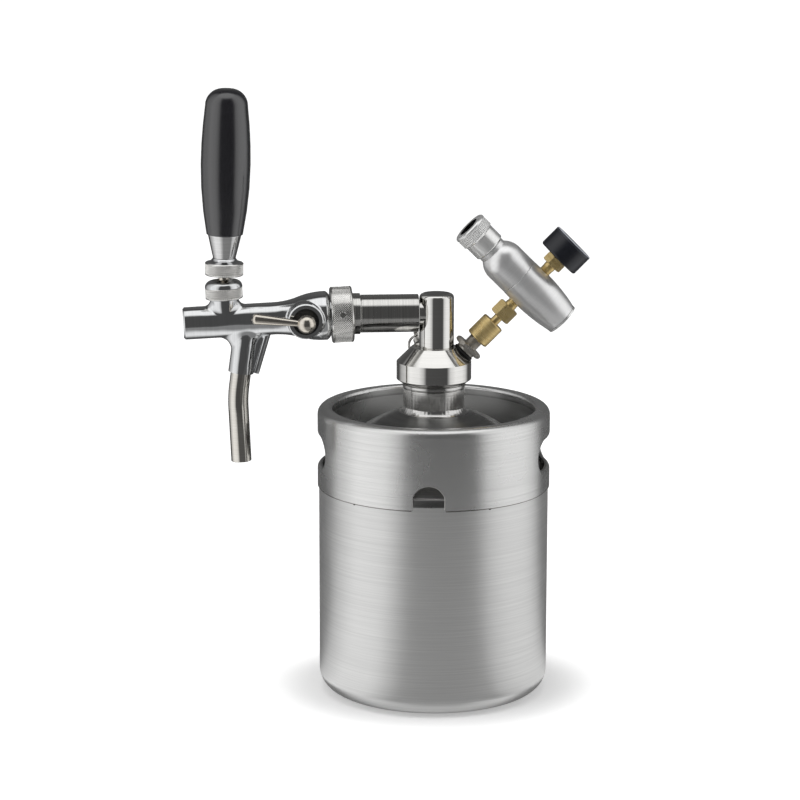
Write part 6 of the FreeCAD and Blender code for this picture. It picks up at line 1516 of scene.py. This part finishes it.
# ---------------------------------------------------------------- tap
@dataclass
class Tap:
    """Knurled coupling nut, chromed tap body, spout and flow control."""

    nut: float = 20.0
    nut_start: float = 0.9
    nut_end: float = 16.4
    nut_bore: float = 15.55
    throat: float = 12.6
    shoulder: float = 11.62
    hole: float = 2.1
    hole_depth: float = 3.2
    spout_radius: float = 7.25
    spout_wall: float = 1.0
    spout_straight: float = 10.0
    spout_bend: float = 90.0
    spout_tail: float = 39.0
    socket: float = 11.9
    ball: float = 6.65
    ball_reach: float = 29.0
    shaft: float = 3.0
    lever_root: float = 1.9
    lever_tip: float = 3.9
    lever_length: float = 38.0
    lever_rise: float = 9.3
    lever_edge: float = 2.4

    def coupling_nut(self) -> None:
        """Wide nut with a crossed knurl between plain chamfered rims and four holes for a hook spanner."""
        low, high = self.nut_start + 1.3, self.nut_end - 1.3
        corners = [
            Corner(self.nut_bore, self.nut_start, 0.4), Corner(self.nut - 0.9, self.nut_start, 0.3),
            Corner(self.nut, self.nut_start + 0.9, 0.3), Corner(self.nut, low), Corner(self.nut, high, step=0.37),
            Corner(self.nut, self.nut_end - 0.9, 0.3), Corner(self.nut - 0.9, self.nut_end, 0.3),
            Corner(self.throat, self.nut_end, 0.3), Corner(self.throat, self.shoulder),
            Corner(self.nut_bore, self.shoulder),
        ]
        knurl = Knurl(low, high, self.nut, 1.48, 0.5)
        inside = Thread(self.nut_start + 0.5, self.shoulder, self.nut_bore, 1.8, -0.5)
        middle = (self.nut_start + self.nut_end) / 2
        cutters = []
        for index in range(4):
            base = spun(AT.barrel, 99 + 90 * index, middle)
            cutters.append(rod(self.hole, self.nut - self.hole_depth, self.nut + 2,
                               place(base[:3, 3], base[:3, 0], base[:3, 1]), 40))
        show("knurled_coupling_nut", lathe(corners, AT.barrel, 340, closed=True, reliefs=[knurl, inside]),
             KNURL_NICKEL, "coupling_nut", ["coupling_nut"], cutters=cutters, crease=14)

    def spout(self) -> None:
        """Thin chromed tube: a straight run, one gentle bend and a straight tail with a rounded lip."""
        tilt = math.radians(AT.spout_tilt)
        top = np.array([[0.0, self.socket], [0.0, -self.spout_straight]])
        turn = np.linspace(0, tilt, 14)[1:]
        bend = np.stack([-self.spout_bend * (1 - np.cos(turn)),
                         -self.spout_straight - self.spout_bend * np.sin(turn)], 1)
        tail = bend[-1] + np.array([[-math.sin(tilt), -math.cos(tilt)]]) * self.spout_tail
        spine = np.vstack([top, bend, tail])
        lengths = np.concatenate([[0], np.cumsum(np.linalg.norm(np.diff(spine, axis=0), axis=1))])
        even = np.linspace(0, lengths[-1], 90)
        flat = np.stack([np.interp(even, lengths, spine[:, i]) for i in (0, 1)], 1)
        path = moved(np.stack([flat[:, 0], np.zeros(90), flat[:, 1]], 1), AT.spout)
        inner = self.spout_radius - self.spout_wall
        edge = 0.35 / lengths[-1]
        ring = [
            Corner(self.spout_radius - 0.3, 0), Corner(self.spout_radius, edge),
            Corner(self.spout_radius, 1 - edge, step=0.011),
            Corner(self.spout_radius - 0.35, 1), Corner(inner + 0.3, 1), Corner(inner, 1 - edge),
            Corner(inner, edge, step=0.011), Corner(inner + 0.3, 0),
        ]
        show("bent_spout", tube(path, ring, 96), SPOUT_CHROME, "head", ["spout_tube"])

    def flow_finger(self) -> None:
        """Polished ball on its shaft, with a tapered finger that is thickest and rounded at its end."""
        at = AT.flow
        start = 9.3
        neck = self.ball_reach - math.sqrt(self.ball ** 2 - self.shaft ** 2)
        shaft = [Corner(0, start), Corner(self.shaft, start, 0.3), Corner(self.shaft, neck)]
        ball = [Corner(self.ball, self.ball_reach, arc=self.ball),
                Corner(0, self.ball_reach + self.ball, arc=self.ball)]
        core = lathe(shaft + ball, at, 96)
        pin = rod(1.2, start - 5.2, start + 1.2, at @ shift(0, -1.5, 0), 32)
        c, s = turned(-self.lever_rise)
        out = c * at[:3, 0] + s * at[:3, 1]
        side = -s * at[:3, 0] + c * at[:3, 1]
        lever_at = place((at @ np.array([0, 0, self.ball_reach, 1]))[:3], out, side)
        root, tip, length = self.lever_root, self.lever_tip, self.lever_length
        slope = (tip - root) / length
        finger = [
            Corner(0, 3.0), Corner(root + slope * 3, 3.0), Corner(root + slope * (self.ball + 0.2), self.ball + 0.2),
            Corner(tip, length - self.lever_edge), Corner(tip - self.lever_edge, length, arc=self.lever_edge),
            Corner(0, length),
        ]
        whole = core.joined(pin).joined(lathe(finger, lever_at, 64))
        show("flow_finger", whole, LEVER_NICKEL, "flow_lever", ["flow_lever"])

    def vent_web(self) -> None:
        """Thin cast web that closes the gap between the vent rib and the spout's boss."""
        corners = [(64.4, -10.4), (69.4, -10.4), (74.1, -36.6), (73.4, -36.6)]
        show("vent_web", prism(corners, 1.7, AT.tap), TAP_CHROME, "head", [])

    def build(self) -> None:
        """Builds the tap's pieces and dresses those that keep their solids."""
        self.coupling_nut()
        self.spout()
        self.vent_web()
        self.flow_finger()
        dress(TAP_CHROME, "tap_body")
        dress(SHADED_GLAND, "flow_gland")
        dress(BRASS, "flow_cone", "valve_shuttle")
        dress(RUBBER, "flow_o_ring", "valve_washer", "coupling_washer")
        dress(NYLON, "lever_seat")


def shift(x: float, y: float, z: float) -> np.ndarray:
    """A frame moved in millimetres."""
    made = np.eye(4)
    made[:3, 3] = x, y, z
    return made


@dataclass
class LeverAndHandle:
    """Knurled bonnet, lever, thumb nut, ferrule and black handle."""

    boss_top: float = 16.6
    bonnet: float = 13.3
    bonnet_knurl: float = 8.0
    bonnet_dome: float = 4.6
    bonnet_top: float = 9.8
    bonnet_mouth: float = 9.6
    ball: float = 6.0
    rod: float = 3.9
    nut_start: float = 11.2
    nut: float = 13.6
    nut_knurl: float = 9.1
    nut_top: float = 8.2
    nut_flange: float = 3.0
    ferrule_foot: float = 8.0
    ferrule_top: float = 11.9
    ferrule: float = 16.9
    grip_foot: float = 12.9
    grip_belly: float = 17.5
    belly_at: float = 49.6
    grip_shoulder: float = 15.0
    shoulder_at: float = 90.9
    nose: float = 11.9
    neck: float = 3.0
    finger: float = 1.6
    tip: float = 2.6
    rod_end: float = 36.0
    socket: float = 6.3
    throat: float = 5.3
    pocket: float = 9.25
    pocket_top: float = 22.1

    @property
    def seat(self) -> float:
        """Height of the ferrule's foot, just off the thumb nut."""
        return self.nut_start + self.nut_knurl + self.nut_flange + FIXED_GAP

    def bonnet_collar(self) -> None:
        """Collar with a fine knurl and a polished round top, open for the lever."""
        foot = self.boss_top + FIXED_GAP
        knurl_end = foot + self.bonnet_knurl
        top = knurl_end + self.bonnet_dome
        socket, throat, pocket = self.socket, self.throat, self.pocket
        socket_foot = AT.pivot_height + math.sqrt(socket ** 2 - (socket - 0.1) ** 2)
        throat_foot = AT.pivot_height + math.sqrt(socket ** 2 - throat ** 2)
        corners = [
            Corner(pocket, foot), Corner(self.bonnet - 0.5, foot, 0.2), Corner(self.bonnet, foot + 0.5, 0.2),
            Corner(self.bonnet, foot + 0.8), Corner(self.bonnet, knurl_end - 0.3, step=0.27),
            Corner(self.bonnet, knurl_end), Corner(self.bonnet_top, top, arc=self.bonnet_dome, second=True),
            Corner(self.bonnet_mouth, top, second=True), Corner(throat, throat_foot + 0.1, second=True),
            Corner(throat, throat_foot), Corner(socket - 0.1, socket_foot, arc=-socket),
            Corner(socket - 0.1, self.pocket_top), Corner(pocket, self.pocket_top),
        ]
        knurl = Knurl(foot + 0.7, knurl_end - 0.2, self.bonnet, 1.3, 0.5)
        show("knurled_bonnet", lathe(corners, AT.bonnet, 384, closed=True, reliefs=[knurl]), KNURL_NICKEL, "head",
             ["bonnet_collar"], second=TAP_CHROME, crease=16)

    def lever_stem(self) -> None:
        """Ball, thin neck, rod and the finger that moves the valve."""
        depth, tip, finger = AT.pivot_height, self.tip, self.finger
        neck_foot = math.sqrt(self.ball ** 2 - self.neck ** 2)
        root = -math.sqrt(self.ball ** 2 - finger ** 2)
        small = depth - math.sqrt(tip ** 2 - finger ** 2)
        corners = [
            Corner(0, -depth - tip), Corner(tip, -depth, arc=tip), Corner(finger, -small, arc=tip),
            Corner(finger, root), Corner(self.ball, 0, arc=self.ball), Corner(self.neck, neck_foot, arc=self.ball),
            Corner(self.neck, 6.4, 0.3), Corner(self.rod, 7.6, 0.3), Corner(self.rod, self.rod_end),
            Corner(0, self.rod_end),
        ]
        show("ball_lever", lathe(corners, AT.lever, 96), LEVER_NICKEL, "tap_lever", ["lever_stem"])

    def thumb_nut(self) -> None:
        """Nut with a fine knurl under a polished flange that hollows up to the ferrule."""
        low, end = self.nut_start, self.nut_start + self.nut_knurl
        top = end + self.nut_flange
        corners = [
            Corner(self.rod + FIXED_GAP, low), Corner(self.nut - 0.6, low, 0.25), Corner(self.nut, low + 0.6, 0.25),
            Corner(self.nut, low + 0.9), Corner(self.nut, end - 0.9, step=0.25), Corner(self.nut, end - 0.5, 0.2),
            Corner(self.nut - 0.5, end, 0.2), Corner(self.nut_top, top, arc=-6.5, second=True),
            Corner(self.rod + FIXED_GAP, top, second=True),
        ]
        knurl = Knurl(low + 0.8, end - 0.8, self.nut, 1.3, 0.5)
        show("knurled_thumb_nut", lathe(corners, AT.lever, 396, closed=True, reliefs=[knurl]), KNURL_NICKEL,
             "tap_lever", ["handle_lock_nut"], second=TAP_CHROME, crease=16)

    def ferrule_cone(self) -> None:
        """Polished cone between thumb nut and handle."""
        foot = self.seat
        top = foot + self.ferrule
        corners = [
            Corner(self.rod + FIXED_GAP, foot), Corner(self.ferrule_foot, foot, 0.4),
            Corner(self.ferrule_top, top, 0.3), Corner(3.0, top), Corner(3.0, top + 14), Corner(0, top + 14),
            Corner(0, self.rod_end + 0.1), Corner(self.rod + FIXED_GAP, self.rod_end + 0.1),
        ]
        show("ferrule_cone", lathe(corners, AT.lever, 128, closed=True), FERRULE_STEEL, "tap_lever",
             ["handle_ferrule"])

    def grip(self) -> None:
        """Handle: two long arcs that meet at the belly, and a rounded end."""
        foot = self.seat + self.ferrule
        belly, shoulder = foot + self.belly_at, foot + self.shoulder_at
        lower = arc_radius(self.belly_at, self.grip_belly - self.grip_foot)
        upper = arc_radius(self.shoulder_at - self.belly_at, self.grip_belly - self.grip_shoulder)
        corners = [
            Corner(3.05, foot), Corner(self.grip_foot - 0.5, foot), Corner(self.grip_foot, foot + 0.5, arc=0.5),
            Corner(self.grip_belly, belly, arc=lower), Corner(self.grip_shoulder, shoulder, arc=upper),
            Corner(self.grip_shoulder - self.nose, shoulder + self.nose, arc=self.nose),
            Corner(0, shoulder + self.nose), Corner(0, foot + 14.1), Corner(3.05, foot + 14.1),
        ]
        show("black_handle", lathe(corners, AT.lever, 192, closed=True), BLACK_GRIP, "tap_lever",
             ["handle_grip"])

    def build(self) -> None:
        """Builds the five pieces."""
        self.bonnet_collar()
        self.lever_stem()
        self.thumb_nut()
        self.ferrule_cone()
        self.grip()


def arc_radius(run: float, rise: float) -> float:
    """Radius of an arc that starts along the axis and moves rise away from it over run."""
    return (run * run + rise * rise) / (2 * rise)


# ---------------------------------------------------------------- inner pieces
@dataclass
class Inside:
    """Finishes of the pieces that only show in a cut or an open pose."""

    rubber: tuple[str, ...] = ("neck_seal", "dip_tube_o_ring")
    steel: tuple[str, ...] = ("dip_tube",)

    def build(self) -> None:
        """Dresses the inner solids."""
        dress(RUBBER, *self.rubber)
        dress(NECK_PLAIN, *self.steel)


# ---------------------------------------------------------------- studio
@dataclass
class Studio:
    """Camera, white floor and the light of a product studio.

    ring gives the light's level by compass angle from the front, over by angle from the front horizon over the
    zenith, and heights the share of the ring by angle above the horizon.  near and far give the light of the two
    cards, whose radii in metres are in cards.  The floor's glow rises over shade_reach, in metres from the axis, and
    is lower nearer the keg as a painted shadow.
    """

    azimuth: float = -4.5
    elevation: float = 12.3
    distance: float = 2.24
    lens: float = 140.85
    target: tuple[float, float, float] = (-0.0241, 0.0018, 0.2119)
    roll: float = 0.1
    floor_size: float = 12.0
    lamp_power: float = 10.0
    lamp_size: float = 1.2
    lamp_place: tuple[float, float, float] = (-0.2, 0.1, 2.0)
    shade_reach: tuple[float, float] = (0.083, 0.13)
    glow: tuple[float, float] = (0.2, 0.54)
    cards: tuple[float, float, float] = (0.09, 0.64, 0.92)
    card_height: float = 0.0004
    ring: Levels = (
        (-180, 0.12), (-142, 0.08), (-124, 0.50), (-100, 0.75), (-82, 1.10), (-52, 1.0), (-38, 0.65), (-28, 0.085),
        (36, 0.075), (48, 0.80), (66, 1.05), (92, 1.0), (108, 0.75), (124, 0.08), (180, 0.12),
    )
    heights: Levels = ((-90, 0.0), (-60, 0.0), (-42, 1.0), (52, 1.0), (64, 0.0), (90, 0.0))
    over: Levels = (
        (-180, 0.10), (-160, 0.35), (-120, 0.55), (-60, 0.60), (-40, 0.24), (44, 0.18), (56, 1.2), (98, 1.2),
        (108, 0.08), (180, 0.10),
    )
    near: Levels = (
        (-180, 0.10), (-142, 0.08), (-122, 0.16), (-108, 0.62), (-82, 1.05), (-52, 0.95), (-40, 0.60), (-28, 0.28),
        (36, 0.26), (46, 0.60), (66, 0.85), (92, 0.88), (108, 0.62), (122, 0.10), (180, 0.10),
    )
    far: Levels = (
        (-180, 0.10), (-142, 0.08), (-122, 0.12), (-108, 0.66), (-82, 1.10), (-52, 1.0), (-38, 0.65), (-28, 0.11),
        (36, 0.11), (48, 0.75), (66, 1.0), (92, 1.0), (108, 0.70), (122, 0.08), (180, 0.10),
    )

    def camera(self) -> None:
        """Puts the camera on its sphere round the target, with a small roll."""
        data = bpy.data.cameras.new("studio_camera")
        data.lens, data.sensor_width = self.lens, 36.0
        made = link("studio_camera", data)
        a, e = math.radians(self.azimuth), math.radians(self.elevation)
        back = np.array([math.sin(a) * math.cos(e), -math.cos(a) * math.cos(e), math.sin(e)])
        right = np.array([math.cos(a), math.sin(a), 0.0])
        up = np.cross(back, right)
        c, s = turned(self.roll)
        pose = np.eye(4)
        pose[:3, 0], pose[:3, 1], pose[:3, 2] = c * right + s * up, c * up - s * right, back
        pose[:3, 3] = np.array(self.target) + back * self.distance
        made.matrix_world = Matrix(pose.tolist())
        data.clip_end = 100
        bpy.context.scene.camera = made

    def floor(self) -> None:
        """A wide white floor with a painted shadow near the keg; the metal mirrors two rings of card in its place."""
        half = self.floor_size
        mesh = bpy.data.meshes.new("studio_floor")
        mesh.from_pydata([(-half, -half, 0), (half, -half, 0), (half, half, 0), (-half, half, 0)], [], [(0, 1, 2, 3)])
        made = link("studio_floor", mesh)
        paint = bpy.data.materials.new("white_floor")
        tree = emptied(paint)
        spot = add(tree, "VectorMath", {0: add(tree, "TexCoord").outputs["Object"]}, operation="LENGTH")
        # Lower glow close to the keg: a painted shadow round its base.
        glow = ranged(tree, spot.outputs["Value"], self.shade_reach, self.glow, interpolation_type="SMOOTHSTEP")
        shader = add(tree, "BsdfPrincipled", {"Base Color": (0.9, 0.9, 0.9, 1), "Roughness": 0.9,
                                              "Specular IOR Level": 0.0, "Emission Color": (1, 1, 1, 1),
                                              "Emission Strength": glow})
        add(tree, "OutputMaterial", {"Surface": shader.outputs[0]})
        mesh.materials.append(paint)
        made.visible_glossy = False
        self.card("near_card", self.cards[:2], self.near)
        self.card("far_card", self.cards[1:], self.far)

    def card(self, name: str, reaches: Sequence[float], levels: Levels) -> None:
        """A ring of card on the floor that only the metal sees, lit by angle round the keg like the studio.

        Args:
            name: the card's name.
            reaches: its inner and outer radius in metres.
            levels: its light by angle from the front.
        """
        count = 96
        angle = np.linspace(0, 2 * math.pi, count + 1)[:-1]
        circle = np.stack([np.cos(angle), np.sin(angle)], 1)
        points = np.vstack([np.column_stack([circle * reach, np.full(count, self.card_height)]) for reach in reaches])
        faces = [(i, count + i, count + (i + 1) % count, (i + 1) % count) for i in range(count)]
        mesh = bpy.data.meshes.new(name)
        mesh.from_pydata(points.tolist(), [], faces)
        made = link(name, mesh)
        paint = bpy.data.materials.new(name)
        tree = emptied(paint)
        around = compass(tree, add(tree, "TexCoord").outputs["Object"])[2]
        shade = add(tree, "Emission", {"Strength": self.curve(tree, around, math.pi, levels)})
        add(tree, "OutputMaterial", {"Surface": shade.outputs[0]})
        mesh.materials.append(paint)
        made.visible_camera = made.visible_diffuse = made.visible_shadow = made.visible_transmission = False

    def lamp(self) -> None:
        """A soft lamp high above, for the shade under the keg's rounded edge; the metal doesn't mirror it."""
        data = bpy.data.lights.new("overhead_lamp", "AREA")
        data.shape, data.size, data.energy = "DISK", self.lamp_size, self.lamp_power
        made = link("overhead_lamp", data)
        made.location = self.lamp_place
        made.visible_glossy = False

    def light(self) -> None:
        """Studio light as a function of direction: levels round the horizon, then above and below."""
        world = bpy.data.worlds.new("studio_light")
        bpy.context.scene.world = world
        tree = emptied(world)
        up, front, azimuth = compass(tree, add(tree, "TexCoord").outputs["Generated"])
        around = self.curve(tree, azimuth, math.pi, self.ring)
        share = self.curve(tree, worked(tree, "ARCSINE", up), math.pi / 2, self.heights)
        outer = self.curve(tree, worked(tree, "ARCTAN2", up, front), math.pi, self.over)
        level = add(tree, "Mix", {0: share, 2: outer, 3: around}, data_type="FLOAT").outputs[0]
        seen = add(tree, "LightPath").outputs["Is Camera Ray"]
        final = add(tree, "Mix", {0: seen, 2: level, 3: 1.0}, data_type="FLOAT").outputs[0]
        shade = add(tree, "Background", {"Color": (1, 1, 1, 1), "Strength": final})
        add(tree, "OutputWorld", {"Surface": shade.outputs[0]})

    def curve(self, tree: Tree, angle: Socket, half: float, levels: Levels) -> Socket:
        """A level as a function of an angle.

        Args:
            tree: the nodes of the world or of a card.
            angle: output that gives the angle in radians, from -half to half.
            half: the largest angle.
            levels: pairs of degrees and level, in order.

        Returns:
            The output that gives the level.
        """
        share = ranged(tree, angle, (-half, half), (0.0, 1.0))
        top = max(level for _, level in levels) or 1.0
        ramp = add(tree, "ValToRGB", {0: share})
        stops = ramp.color_ramp.elements
        while len(stops) < len(levels):
            stops.new(0.5)
        for stop, (degrees, level) in zip(stops, levels):
            stop.position = (math.radians(degrees) + half) / (2 * half)
            stop.color = (level / top, level / top, level / top, 1)
        return worked(tree, "MULTIPLY", ramp.outputs[0], top)

    def build(self) -> None:
        """Sets the stage."""
        bpy.context.scene.view_settings.view_transform = "Standard"
        self.camera()
        self.floor()
        self.lamp()
        self.light()


def main() -> None:
    """Builds the sub-assemblies in order, then the studio."""
    logging.basicConfig(level=logging.INFO, format="%(name)s %(message)s")
    for assembly in (Keg(), Head(), GasInlet(), Regulator(), Gauge(), Tap(), LeverAndHandle(), Inside()):
        LOG.info("building %s", type(assembly).__name__)
        assembly.build()
    Studio().build()


if __name__ == "__main__":
    main()
